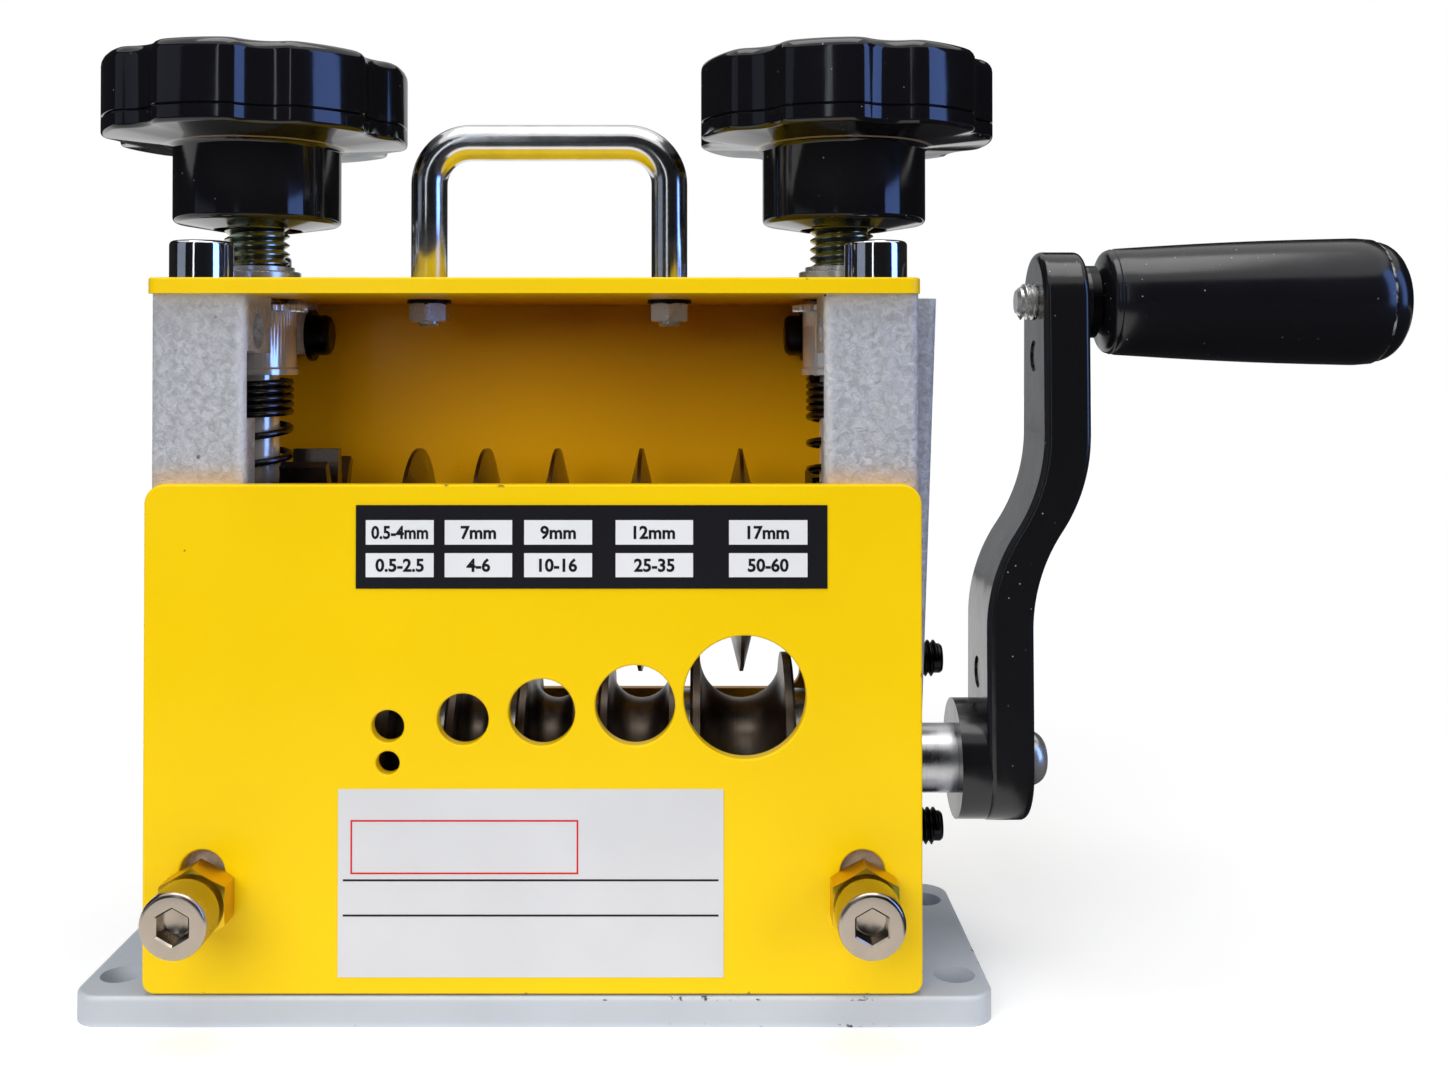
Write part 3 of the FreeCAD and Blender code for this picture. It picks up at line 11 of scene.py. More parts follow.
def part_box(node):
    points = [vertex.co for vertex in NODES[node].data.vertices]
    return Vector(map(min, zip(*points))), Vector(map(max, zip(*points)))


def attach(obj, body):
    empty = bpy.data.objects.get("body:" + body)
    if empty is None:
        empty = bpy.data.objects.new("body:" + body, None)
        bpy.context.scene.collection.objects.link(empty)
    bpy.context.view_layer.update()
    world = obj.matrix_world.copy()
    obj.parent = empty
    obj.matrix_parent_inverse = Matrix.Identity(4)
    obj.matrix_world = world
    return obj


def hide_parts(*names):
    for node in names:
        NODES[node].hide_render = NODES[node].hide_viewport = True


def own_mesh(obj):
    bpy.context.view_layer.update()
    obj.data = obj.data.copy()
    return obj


bl_info = {
    "name": "Hand Crank Wire Stripper",
    "version": (1, 0, 0),
    "blender": (4, 5, 0),
    "location": "View3D > Sidebar > Wire Stripper",
    "description": "Finishes a bench wire stripper: cast columns, painted sheets, knobs, crank",
    "category": "Object",
}

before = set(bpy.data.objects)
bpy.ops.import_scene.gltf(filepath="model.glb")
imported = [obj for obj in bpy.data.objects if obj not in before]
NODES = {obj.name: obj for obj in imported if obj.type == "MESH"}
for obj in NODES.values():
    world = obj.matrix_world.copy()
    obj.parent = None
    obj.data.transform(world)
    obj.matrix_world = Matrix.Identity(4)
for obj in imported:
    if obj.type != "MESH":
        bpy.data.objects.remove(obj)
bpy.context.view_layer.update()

MM = 0.001
SIDES = {"left": -1, "right": 1}
LANES = range(1, 6)
FULL_TURN = 2 * math.pi
TINY = 1e-7
SHARP = math.radians(32)
# an M8 screw: radii of its shank and head, height of its head, width of its hexagon socket
M8_SHANK, M8_HEAD = 4 * MM, 6.5 * MM
M8_HEAD_HEIGHT = 8 * MM
M8_SOCKET = 6 * MM
# depth of a metric thread as a share of its pitch
THREAD_DEPTH = 0.62
X_AXIS = Vector((1, 0, 0))
Y_AXIS = Vector((0, 1, 0))
Z_AXIS = Vector((0, 0, 1))


# ---------------------------------------------------------------- places read from the frame

def low(node):
    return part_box(node)[0]


def high(node):
    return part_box(node)[1]


def middle(node):
    return (low(node) + high(node)) / 2


def half_width(node):
    return (high(node).x - low(node).x) / 2


def height_of(node):
    return high(node).z - low(node).z


def on_axis(node, height=0.0):
    """The transform that takes a form about Z to a node's upright axis."""
    place = middle(node)
    place.z = height
    return Matrix.Translation(place)


# ---------------------------------------------------------------- what a user may change

def colour(name, description, default):
    return FloatVectorProperty(name=name, description=description, subtype="COLOR", size=3,
                               min=0, max=1, default=default)


def length(name, description, millimetres):
    return FloatProperty(name=name, description=description, subtype="DISTANCE", unit="LENGTH",
                         min=0, default=millimetres * MM)


class STRIPPER_PG_finishes(PropertyGroup):
    """Colours of the machine's finishes."""
    yellow: colour("Yellow Paint", "Gloss paint of the sheets", (0.93, 0.62, 0.002))
    base_grey: colour("Base Grey", "Paint of the base plate", (0.50, 0.535, 0.59))
    casting: colour("Casting", "Sand-cast columns", (0.57, 0.58, 0.62))
    zinc: colour("Zinc", "Bright zinc plate", (0.66, 0.66, 0.65))
    chrome: colour("Chrome", "Bright chrome plate", (0.86, 0.86, 0.88))
    nickel: colour("Nickel", "Warm nickel plate of the front bolts", (0.42, 0.36, 0.30))
    gold: colour("Golden Paint", "Thin yellow paint of the front nuts", (0.72, 0.47, 0.03))
    steel: colour("Ground Steel", "Shafts and spacers", (0.50, 0.50, 0.51))
    tool_steel: colour("Tool Steel", "Blades, gears and rollers", (0.16, 0.135, 0.115))
    spring_steel: colour("Spring Steel", "Oiled spring wire", (0.13, 0.14, 0.16))
    black_oxide: colour("Black Oxide", "Blackened screws", (0.02, 0.02, 0.02))
    plastic: colour("Black Plastic", "Moulded knobs and grip", (0.006, 0.006, 0.008))
    enamel: colour("Black Enamel", "Paint of the crank", (0.007, 0.007, 0.008))
    bronze: colour("Bronze", "Sintered bushes", (0.45, 0.27, 0.12))
    iron: colour("Iron", "Milled bearing blocks", (0.07, 0.068, 0.068))
    chart_black: colour("Chart Black", "Ground of the size chart", (0.009, 0.009, 0.012))
    label_white: colour("Label White", "Printed film", (0.80, 0.81, 0.85))
    label_red: colour("Label Red", "Frame on the label", (0.62, 0.02, 0.025))


class STRIPPER_PG_sizes(PropertyGroup):
    """Sizes of the details that the visible pieces add to the frame."""
    knob_lobes: IntProperty(name="Knob Lobes", description="Lobes of each knob", min=3, default=7)
    knob_radius: length("Knob Radius", "From a knob's axis to the crown of a lobe", 32.6)
    lobe_radius: length("Lobe Radius", "Radius of a lobe's shoulders", 5)
    scallop_radius: length("Scallop Radius", "Radius of the cut between two lobes", 10)
    scallop_offset: length("Scallop Offset", "From a knob's axis to the centre of a cut", 40)
    knob_round: length("Knob Round", "Radius of the knob's upper rim", 2.5)
    foot_round: length("Foot Round", "Radius of the disc's lower rim", 1.0)
    parting_height: length("Parting Height", "From the disc's lower face to its mould line", 4.7)
    hub_radius: length("Hub Radius", "Radius of a knob's hub", 18)
    hub_height: length("Hub Height", "Height of a knob's hub", 18.2)
    screw_pitch: length("Screw Pitch", "Pitch of the pressure screws", 2)
    bolt_pitch: length("Bolt Pitch", "Pitch of the M8 threads", 1.25)
    wire_radius: length("Spring Wire", "Radius of the pressure springs' wire", 0.8)
    closed_pitch: length("Closed Pitch", "Pitch of a spring's closed coils", 1.62)
    closed_coils: IntProperty(name="Closed Coils", description="Closed coils under the sleeve",
                              min=1, default=5)
    open_coils: IntProperty(name="Open Coils", description="Open coils above the block",
                            min=1, default=3)
    handle_bend: length("Handle Bend", "Bend radius of the carrying handle", 9.3)


class STRIPPER_PG_chart(PropertyGroup):
    """Generic sizes printed beside the wire holes."""
    upper: StringProperty(name="Upper Row", description="Wire diameters, one for each lane",
                          default="0.5-4mm 7mm 9mm 12mm 17mm")
    lower: StringProperty(name="Lower Row", description="Wire sections, one for each lane",
                          default="0.5-2.5 4-6 10-16 25-35 50-60")
    letter_height: length("Letter Height", "Height of a capital", 2.45)


class STRIPPER_PG_stage(PropertyGroup):
    """Camera and light."""
    eye: FloatVectorProperty(name="Eye", description="Where the camera stands", size=3,
                             subtype="TRANSLATION", default=(0.0334, -0.3274, 0.1318))
    pitch: FloatProperty(name="Pitch", description="Downward tilt of the camera",
                         subtype="ANGLE", default=math.radians(-0.67))
    lens: FloatProperty(name="Lens", description="Focal length in millimetres", default=36.61)
    shift: FloatVectorProperty(name="Shift", description="Lens shift", size=2,
                               default=(0.0169, -0.1343))
    key_power: FloatProperty(name="Key Power", description="Watts of the front softbox",
                             default=10.6)
    fill_power: FloatProperty(name="Fill Power", description="Watts of the side softbox",
                              default=4.5)
    top_power: FloatProperty(name="Top Power", description="Watts of the overhead softbox",
                             default=7.5)
    ambient: FloatProperty(name="Ambient", description="Strength of the world's light",
                           default=0.26)


def finishes():
    return bpy.context.scene.stripper_finishes


def sizes():
    return bpy.context.scene.stripper_sizes


# ---------------------------------------------------------------- node helpers

def new_finish(name, base, metallic, roughness):
    """A material, its node tree and its Principled shader."""
    made = bpy.data.materials.new(name)
    made.use_nodes = True
    shader = made.node_tree.nodes["Principled BSDF"]
    shader.inputs["Base Color"].default_value = (*base, 1)
    shader.inputs["Metallic"].default_value = metallic
    shader.inputs["Roughness"].default_value = roughness
    return made, made.node_tree, shader


def math_node(tree, operation, first, second=None, clamp=False):
    node = tree.nodes.new("ShaderNodeMath")
    node.operation = operation
    node.use_clamp = clamp
    for socket, term in zip(node.inputs, (first, second)):
        if isinstance(term, (int, float)):
            socket.default_value = term
        elif term is not None:
            tree.links.new(term, socket)
    return node.outputs[0]


def object_point(tree, centre=(0, 0, 0), scale=(1, 1, 1)):
    """Object coordinates counted from a centre and stretched."""
    source = tree.nodes.new("ShaderNodeTexCoord")
    mapping = tree.nodes.new("ShaderNodeMapping")
    mapping.vector_type = "POINT"
    mapping.inputs["Scale"].default_value = scale
    mapping.inputs["Location"].default_value = [-c * s for c, s in zip(centre, scale)]
    tree.links.new(source.outputs["Object"], mapping.inputs["Vector"])
    return mapping.outputs["Vector"]


def axes(tree, point):
    """The X, Y and Z of a point."""
    parts = tree.nodes.new("ShaderNodeSeparateXYZ")
    tree.links.new(point, parts.inputs["Vector"])
    return parts.outputs


def product(tree, *factors):
    result = factors[0]
    for factor in factors[1:]:
        result = math_node(tree, "MULTIPLY", result, factor)
    return result


def distance_from(tree, value, place):
    """How far a value lies from a place."""
    return math_node(tree, "ABSOLUTE", math_node(tree, "SUBTRACT", value, place))


def noise(tree, point, scale, detail=3.0, roughness=0.5, distortion=0.0):
    node = tree.nodes.new("ShaderNodeTexNoise")
    node.inputs["Scale"].default_value = scale
    node.inputs["Detail"].default_value = detail
    node.inputs["Roughness"].default_value = roughness
    node.inputs["Distortion"].default_value = distortion
    tree.links.new(point, node.inputs["Vector"])
    return node.outputs["Fac"]


def specks(tree, point, scale, size):
    """Small scattered dots: 1 in a dot and 0 elsewhere."""
    node = tree.nodes.new("ShaderNodeTexVoronoi")
    node.inputs["Scale"].default_value = scale
    tree.links.new(point, node.inputs["Vector"])
    return between(tree, node.outputs["Distance"], size, size * 0.6)


def between(tree, source, start, end):
    """0 below start and 1 beyond end, smooth between them; start may be the larger."""
    node = tree.nodes.new("ShaderNodeMapRange")
    node.interpolation_type = "SMOOTHSTEP"
    node.inputs["From Min"].default_value = start
    node.inputs["From Max"].default_value = end
    tree.links.new(source, node.inputs["Value"])
    return node.outputs["Result"]


def spread(tree, source, lowest, highest, start=0.3, end=0.7):
    """A factor turned into a range of values."""
    node = tree.nodes.new("ShaderNodeMapRange")
    node.inputs["From Min"].default_value = start
    node.inputs["From Max"].default_value = end
    node.inputs["To Min"].default_value = lowest
    node.inputs["To Max"].default_value = highest
    tree.links.new(source, node.inputs["Value"])
    return node.outputs["Result"]


def mixed(tree, factor, first, second):
    """One colour into another by a factor; each is a colour or a socket."""
    node = tree.nodes.new("ShaderNodeMix")
    node.data_type = "RGBA"
    tree.links.new(factor, node.inputs["Factor"])
    for socket, term in ((node.inputs[6], first), (node.inputs[7], second)):
        if isinstance(term, bpy.types.NodeSocket):
            tree.links.new(term, socket)
        else:
            socket.default_value = (*term, 1)
    return node.outputs[2]


def shade(base, factor):
    return tuple(min(1.0, channel * factor) for channel in base)


def relief(tree, height, distance, strength=1.0, under=None):
    node = tree.nodes.new("ShaderNodeBump")
    node.inputs["Distance"].default_value = distance
    node.inputs["Strength"].default_value = strength
    tree.links.new(height, node.inputs["Height"])
    if under:
        tree.links.new(under, node.inputs["Normal"])
    return node.outputs["Normal"]


def near_edges(tree, lowest, highest, reach):
    """1 along the edges of an upright box, fading to 0 within a reach of them."""
    closeness = []
    for axis, value in enumerate(axes(tree, object_point(tree))):
        centre = (lowest[axis] + highest[axis]) / 2
        half = (highest[axis] - lowest[axis]) / 2
        offset = distance_from(tree, value, centre)
        closeness.append(between(tree, offset, half - reach, half))
    pairs = [product(tree, closeness[a], closeness[b]) for a, b in ((0, 1), (0, 2), (1, 2))]
    return math_node(tree, "MAXIMUM", math_node(tree, "MAXIMUM", pairs[0], pairs[1]), pairs[2])


# ---------------------------------------------------------------- finishes

FINISHES = {}


def finish(maker):
    """Keep one material for each maker function."""
    def ready():
        if maker.__name__ not in FINISHES:
            FINISHES[maker.__name__] = maker()
        return FINISHES[maker.__name__]
    return ready


def painted_bounce_area(tree, point, node):
    """1 on the inner side of the rear sheets, clear of their outer faces and edges: where painted
    orange bounce light and shade goes.
    """
    across, along, up = axes(tree, point)
    rear = high("rear_plate").y
    return product(tree, between(tree, along, -0.75 * rear, -0.55 * rear),
                   inside(tree, along, high(node).y), inside(tree, up, high("top_cover").z),
                   inside(tree, math_node(tree, "ABSOLUTE", across), high(node).x))


def inside(tree, value, face):
    """0 within a millimetre of a face and 1 from two millimetres inwards."""
    return between(tree, value, face - 1 * MM, face - 2 * MM)


def painted_sheet(name, node):
    """Gloss yellow paint with faint orange peel and dark nicks along the sheet's edges.

    The inner side of a sheet, which faces the front of the machine, is painted orange: painted
    bounce light in the machine's shade."""
    base = finishes().yellow
    # the first colour is painted orange bounce light for the shaded inner side of the sheets
    painted_bounce_amber, brown_dust, dark_nick = (0.98, 0.47, 0.001), (0.30, 0.19, 0.02), (0.10, 0.065, 0.02)
    made, tree, shader = new_finish(name, base, 0.0, 0.34)
    point = object_point(tree)
    drift = noise(tree, point, 22, 2)
    tone = mixed(tree, spread(tree, drift, 0, 1), shade(base, 0.965), shade(base, 1.02))
    dust = specks(tree, point, 160, 0.055)
    rare = between(tree, noise(tree, point, 45, 1), 0.60, 0.66)
    tone = mixed(tree, product(tree, dust, rare), tone, brown_dust)
    # painted bounce light: orange on the shaded inner side of the rear sheets
    tone = mixed(tree, painted_bounce_area(tree, point, node), tone, painted_bounce_amber)
    edge = near_edges(tree, low(node), high(node), 0.9 * MM)
    nicks = between(tree, noise(tree, point, 420, 4), 0.68, 0.72)
    tone = mixed(tree, product(tree, edge, nicks), tone, dark_nick)
    tree.links.new(tone, shader.inputs["Base Color"])
    tree.links.new(spread(tree, noise(tree, point, 60, 4), 0.28, 0.42),
                   shader.inputs["Roughness"])
    shader.inputs["Specular IOR Level"].default_value = 0.16
    shader.inputs["Coat Weight"].default_value = 0.08
    shader.inputs["Coat Roughness"].default_value = 0.12
    peel = noise(tree, point, 520, 2)
    waves = noise(tree, point, 70, 2)
    under = relief(tree, waves, 0.25 * MM, 0.25)
    tree.links.new(relief(tree, peel, 0.04 * MM, 0.35, under), shader.inputs["Normal"])
    return made


@finish
def base_paint():
    """Pale blue-grey paint with a painted highlight along the plate's edges, chipped to dark
    metal there.
    """
    base = finishes().base_grey
    made, tree, shader = new_finish("base_paint_finish", base, 0.0, 0.42)
    point = object_point(tree)
    drift = noise(tree, point, 30, 4)
    tone = mixed(tree, spread(tree, drift, 0, 1), shade(base, 0.93), shade(base, 1.05))
    edge = near_edges(tree, low("base_plate"), high("base_plate"), 1.3 * MM)
    # painted highlight: the paint is lighter along the plate's edges
    tone = mixed(tree, product(tree, edge, 0.6), tone, shade(base, 1.25))
    ragged = noise(tree, point, 620, 5, 0.65)
    gathered = noise(tree, point, 38, 2)
    chips = between(tree, math_node(tree, "ADD", product(tree, ragged, 0.6),
                                    product(tree, gathered, 0.5)), 0.665, 0.69)
    worn = product(tree, between(tree, edge, 0.25, 0.6), chips)
    tone = mixed(tree, worn, tone, (0.06, 0.058, 0.058))
    scuffs = product(tree, specks(tree, point, 190, 0.06), between(tree, gathered, 0.60, 0.66))
    tone = mixed(tree, scuffs, tone, (0.22, 0.22, 0.23))
    tree.links.new(tone, shader.inputs["Base Color"])
    tree.links.new(spread(tree, ragged, 0.34, 0.5), shader.inputs["Roughness"])
    tree.links.new(relief(tree, math_node(tree, "SUBTRACT", noise(tree, point, 300, 3), worn),
                          0.12 * MM, 0.5), shader.inputs["Normal"])
    return made


def sand_casting(name, node):
    """Rough sand-cast aluminium with a painted highlight along its edges."""
    base = finishes().casting
    peach, dark_pit = (0.80, 0.50, 0.25), (0.05, 0.05, 0.05)
    made, tree, shader = new_finish(name, base, 0.35, 0.55)
    point = object_point(tree)
    grain = noise(tree, point, 1500, 3, 0.6)
    skin = noise(tree, point, 620, 5, 0.70, 0.7)
    folds = noise(tree, point, 95, 3, 0.55, 0.6)
    tone = mixed(tree, spread(tree, skin, 0, 1, 0.38, 0.62), shade(base, 0.72),
                 shade(base, 1.18))
    tone = mixed(tree, spread(tree, folds, 0, 0.35), tone, shade(base, 0.88))
    edge = near_edges(tree, low(node), high(node), 2.6 * MM)
    # painted highlight: the casting is brighter along the column's edges
    tone = mixed(tree, product(tree, edge, 0.75), tone, shade(base, 1.5))
    pits = product(tree, specks(tree, point, 210, 0.11),
                   between(tree, noise(tree, point, 60, 1), 0.57, 0.62))
    tone = mixed(tree, pits, tone, dark_pit)
    _, along, up = axes(tree, point)
    plate_top = high("front_plate").z
    overspray = product(tree, between(tree, up, plate_top + 5 * MM, plate_top),
                        between(tree, along, low(node).y + 1.5 * MM, low(node).y), 0.5)
    tone = mixed(tree, overspray, tone, peach)
    tree.links.new(tone, shader.inputs["Base Color"])
    tree.links.new(spread(tree, skin, 0.42, 0.66), shader.inputs["Roughness"])
    under = relief(tree, folds, 1.4 * MM, 0.55)
    under = relief(tree, skin, 0.55 * MM, 1.0, under)
    tree.links.new(relief(tree, grain, 0.20 * MM, 0.8, under), shader.inputs["Normal"])
    return made


def plated(name, base, roughness, variation=0.08, metallic=1.0):
    """A plated metal whose polish varies a little."""
    made, tree, shader = new_finish(name, base, metallic, roughness)
    point = object_point(tree)
    smears = noise(tree, point, 140, 4, 0.6)
    tree.links.new(mixed(tree, spread(tree, smears, 0, 1), shade(base, 0.86),
                         shade(base, 1.06)), shader.inputs["Base Color"])
    tree.links.new(spread(tree, smears, roughness, roughness + variation),
                   shader.inputs["Roughness"])
    tree.links.new(relief(tree, noise(tree, point, 700, 2), 0.02 * MM, 0.4),
                   shader.inputs["Normal"])
    return made


def turned_steel(name, base, roughness, shaft):
    """Steel with fine rings left by the lathe, about a shaft that lies along X."""
    made, tree, shader = new_finish(name, base, 1.0, roughness)
    point = object_point(tree, centre=(0, 0, middle(shaft).z))
    along, side, up = axes(tree, point)
    across = tree.nodes.new("ShaderNodeCombineXYZ")
    tree.links.new(side, across.inputs[0])
    tree.links.new(up, across.inputs[1])
    reach = tree.nodes.new("ShaderNodeVectorMath")
    reach.operation = "LENGTH"
    tree.links.new(across.outputs[0], reach.inputs[0])
    rings = tree.nodes.new("ShaderNodeCombineXYZ")
    tree.links.new(along, rings.inputs[0])
    tree.links.new(reach.outputs["Value"], rings.inputs[1])
    lines = noise(tree, rings.outputs[0], 2400, 3, 0.6)
    stains = noise(tree, point, 95, 4, 0.6)
    tone = mixed(tree, spread(tree, stains, 0, 1, 0.35, 0.68), shade(base, 0.7),
                 shade(base, 1.3))
    tree.links.new(mixed(tree, spread(tree, lines, 0, 0.35), tone, shade(base, 1.6)),
                   shader.inputs["Base Color"])
    tree.links.new(spread(tree, stains, roughness, roughness + 0.18),
                   shader.inputs["Roughness"])
    tree.links.new(relief(tree, lines, 0.05 * MM, 0.5), shader.inputs["Normal"])
    return made


def black_gloss(name, base, roughness, wobble, wobble_scale):
    """Deep gloss black with a wavy skin, dust and hair scratches."""
    made, tree, shader = new_finish(name, base, 0.0, roughness)
    point = object_point(tree)
    dust = product(tree, specks(tree, point, 420, 0.085),
                   between(tree, noise(tree, point, 55, 2), 0.52, 0.60))
    tone = mixed(tree, dust, base, (0.30, 0.30, 0.32))
    tree.links.new(tone, shader.inputs["Base Color"])
    haze = noise(tree, point, 90, 5, 0.65)
    tree.links.new(spread(tree, haze, roughness, roughness + 0.07),
                   shader.inputs["Roughness"])
    hairs = noise(tree, object_point(tree, scale=(1, 1, 0.06)), 1500, 2)
    under = relief(tree, noise(tree, point, wobble_scale, 2), 1.0 * MM, wobble)
    tree.links.new(relief(tree, hairs, 0.02 * MM, 0.25, under), shader.inputs["Normal"])
    return made


def cover_with(made, mask, tone):
    """Lay a second colour over a finish where a mask is 1."""
    tree = made.node_tree
    colour_socket = tree.nodes["Principled BSDF"].inputs["Base Color"]
    under = colour_socket.links[0].from_socket
    tree.links.new(mixed(tree, mask, under, tone), colour_socket)
    return made


@finish
def knob_plastic():
    """Gloss plastic whose flat lower faces carry a beige painted reflection of the floor and the
    cover.
    """
    made = black_gloss("knob_plastic_finish", finishes().plastic, 0.06, 0.10, 55)
    painted_underside_reflection = (0.34, 0.28, 0.21)
    tree = made.node_tree
    up = axes(tree, object_point(tree))[2]
    foot = low("left_knob").z
    faces = [between(tree, distance_from(tree, up, height), 0.10 * MM, 0.04 * MM)
             for height in (foot, foot + sizes().hub_height)]
    # painted reflection: beige on the flat lower faces of the hub and the disc
    return cover_with(made, math_node(tree, "MAXIMUM", *faces), painted_underside_reflection)


@finish
def grip_plastic():
    """Moulded plastic with pale dust in the seam before the end cap."""
    made = black_gloss("grip_plastic_finish", finishes().plastic, 0.17, 0.06, 60)
    pale_dust = (0.55, 0.55, 0.58)
    tree = made.node_tree
    point = object_point(tree)
    away = distance_from(tree, axes(tree, point)[0], high("grip").x)
    dust = product(tree, between(tree, away, 0.45 * MM, 0.15 * MM),
                   between(tree, noise(tree, point, 260, 3), 0.42, 0.56))
    return cover_with(made, dust, pale_dust)


@finish
def thread_zinc():
    """Yellow zinc that drifts from brass to green silver."""
    made, tree, shader = new_finish("thread_zinc_finish", (0.6, 0.6, 0.4), 1.0, 0.24)
    point = object_point(tree)
    drift = noise(tree, object_point(tree, scale=(1, 1, 0.5)), 65, 3)
    tone = mixed(tree, spread(tree, drift, 0, 1, 0.40, 0.62), (0.38, 0.42, 0.36),
                 (0.58, 0.41, 0.08))
    tree.links.new(tone, shader.inputs["Base Color"])
    tree.links.new(relief(tree, noise(tree, point, 900, 3), 0.03 * MM, 0.4),
                   shader.inputs["Normal"])
    return made


def printed(name, base, roughness):
    """Printed film with a faint unevenness."""
    made, tree, shader = new_finish(name, base, 0.0, roughness)
    shader.inputs["Specular IOR Level"].default_value = 0.2
    point = object_point(tree)
    drift = noise(tree, point, 40, 3)
    tree.links.new(mixed(tree, spread(tree, drift, 0, 1), shade(base, 0.96),
                         shade(base, 1.03)), shader.inputs["Base Color"])
    tree.links.new(relief(tree, noise(tree, point, 110, 2), 0.10 * MM, 0.3),
                   shader.inputs["Normal"])
    return made


# maker, the user's colour, its factor, and what else the maker asks for
RECIPES = {
    "bright_zinc": (plated, "zinc", 1.0, 0.20, 0.12, 0.8),
    "polished_zinc": (plated, "chrome", 1.0, 0.12, 0.10, 0.62),
    "bright_chrome": (plated, "chrome", 1.0, 0.04, 0.05),
    "satin_chrome": (plated, "chrome", 0.85, 0.13, 0.08),
    "warm_nickel": (plated, "nickel", 1.0, 0.16, 0.12),
    "golden_paint": (plated, "gold", 1.0, 0.28, 0.10),
    "spring_wire": (plated, "spring_steel", 1.0, 0.20, 0.10),
    "blackened": (plated, "black_oxide", 1.0, 0.30, 0.10),
    "bearing_bronze": (plated, "bronze", 1.0, 0.35, 0.12),
    "milled_iron": (plated, "iron", 1.0, 0.42, 0.15),
    "blade_steel": (turned_steel, "tool_steel", 1.0, 0.24, "blade_shaft"),
    "roller_steel": (turned_steel, "tool_steel", 1.35, 0.30, "drive_shaft"),
    "upper_shaft": (turned_steel, "steel", 1.0, 0.25, "blade_shaft"),
    "lower_shaft": (turned_steel, "steel", 1.0, 0.22, "drive_shaft"),
    "crank_enamel": (black_gloss, "enamel", 1.0, 0.14, 0.16, 95),
    "chart_black": (printed, "chart_black", 1.0, 0.38),
    "label_white": (printed, "label_white", 1.0, 0.45),
    "label_film": (printed, "label_white", 0.82, 0.45),
    "label_red": (printed, "label_red", 1.0, 0.45),
}


def listed(name):
    """A finish from the list of recipes, made once."""
    if name not in FINISHES:
        maker, base, factor, *measures = RECIPES[name]
        FINISHES[name] = maker(name + "_finish", shade(getattr(finishes(), base), factor),
                               *measures)
    return FINISHES[name]


# ---------------------------------------------------------------- mesh helpers

def stack(bm, rings, count, turn=0.0):
    """Extrude a ring of vertices about Z through a row of (shape, height).

    A shape is a radius, or a function that gives the radius at an angle.  A ring of radius 0
    closes the form at a point, and so does the first or the last ring with a flat face."""
    def spot(shape, height, number):
        angle = turn + FULL_TURN * number / count
        radius = shape(angle) if callable(shape) else shape
        return Vector((radius * math.cos(angle), radius * math.sin(angle), height))

    loop = bmesh.ops.create_circle(bm, cap_ends=False, segments=count, radius=1)["verts"]
    edges = [edge for edge in bm.edges if edge.verts[0] in loop and edge.verts[1] in loop]
    first = list(edges)
    for position, (shape, height) in enumerate(rings):
        if position:
            grown = bmesh.ops.extrude_edge_only(bm, edges=edges)["geom"]
            fresh = [item for item in grown if isinstance(item, bmesh.types.BMVert)]
            edges = [item for item in grown if isinstance(item, bmesh.types.BMEdge)
                     and all(vert in fresh for vert in item.verts)]
            partner = {}
            for vert in fresh:
                partner.update({edge.other_vert(vert): vert for edge in vert.link_edges
                                if edge.other_vert(vert) in loop})
            loop = [partner[vert] for vert in loop]
        for number, vert in enumerate(loop):
            vert.co = spot(shape, height, number)
    ends = [first] if rings[0][0] != 0 else []
    ends += [edges] if rings[-1][0] != 0 else []
    for ring in ends:
        bmesh.ops.edgeloop_fill(bm, edges=ring)
    bmesh.ops.remove_doubles(bm, verts=bm.verts, dist=TINY)
    return bm


def closed_stack(bm, rings, count):
    """A ring-shaped form: the last ring is joined to the first."""
    before = set(bm.verts)
    stack(bm, rings + [rings[0]], count)
    faces = [face for face in bm.faces if len(face.verts) == count
             and not any(vert in before for vert in face.verts)]
    bmesh.ops.delete(bm, geom=faces, context="FACES_ONLY")
    bmesh.ops.remove_doubles(bm, verts=bm.verts, dist=TINY)
    return bm


def rounded(radius, height, round_radius, upward, inward=True, steps=5):
    """Rings of a quarter-round rim, from the wall to the end face, or back if not upward."""
    rings = []
    for step in range(steps + 1):
        angle = math.pi / 2 * step / steps
        drop = round_radius * (1 - math.cos(angle))
        rise = round_radius * math.sin(angle)
        shift = -drop if inward else drop
        rings.append((offset_shape(radius, shift), height + (rise - round_radius) * upward))
    return rings


def offset_shape(shape, shift):
    if callable(shape):
        return lambda angle: shape(angle) + shift
    return shape + shift


def coil(bm, radius, wire, start, stages, steps=40, sides=14):
    """Wind a round wire about Z through stages of (turns, pitch), closed at both ends."""
    ring = bmesh.ops.create_circle(bm, cap_ends=True, segments=sides, radius=wire)["verts"]
    bmesh.ops.rotate(bm, verts=ring, cent=(0, 0, 0), matrix=Matrix.Rotation(math.pi / 2, 3, "X"))
    bmesh.ops.translate(bm, verts=ring, vec=(radius, 0, start))
    wind(bm, ring, stages, steps)


def wind(bm, ring, stages, steps):
    """Spin the face of a ring of vertices about Z along a helix of several stages."""
    face = next(face for face in bm.faces if set(face.verts) == set(ring))
    last = [face, *face.edges, *face.verts]
    for turns, pitch in stages:
        count = round(turns * steps)
        rise = Vector((0, 0, pitch * turns / count))
        last = bmesh.ops.spin(bm, geom=last, cent=(0, 0, 0), axis=Z_AXIS, dvec=rise,
                              angle=FULL_TURN * turns, steps=count,
                              use_merge=False)["geom_last"]


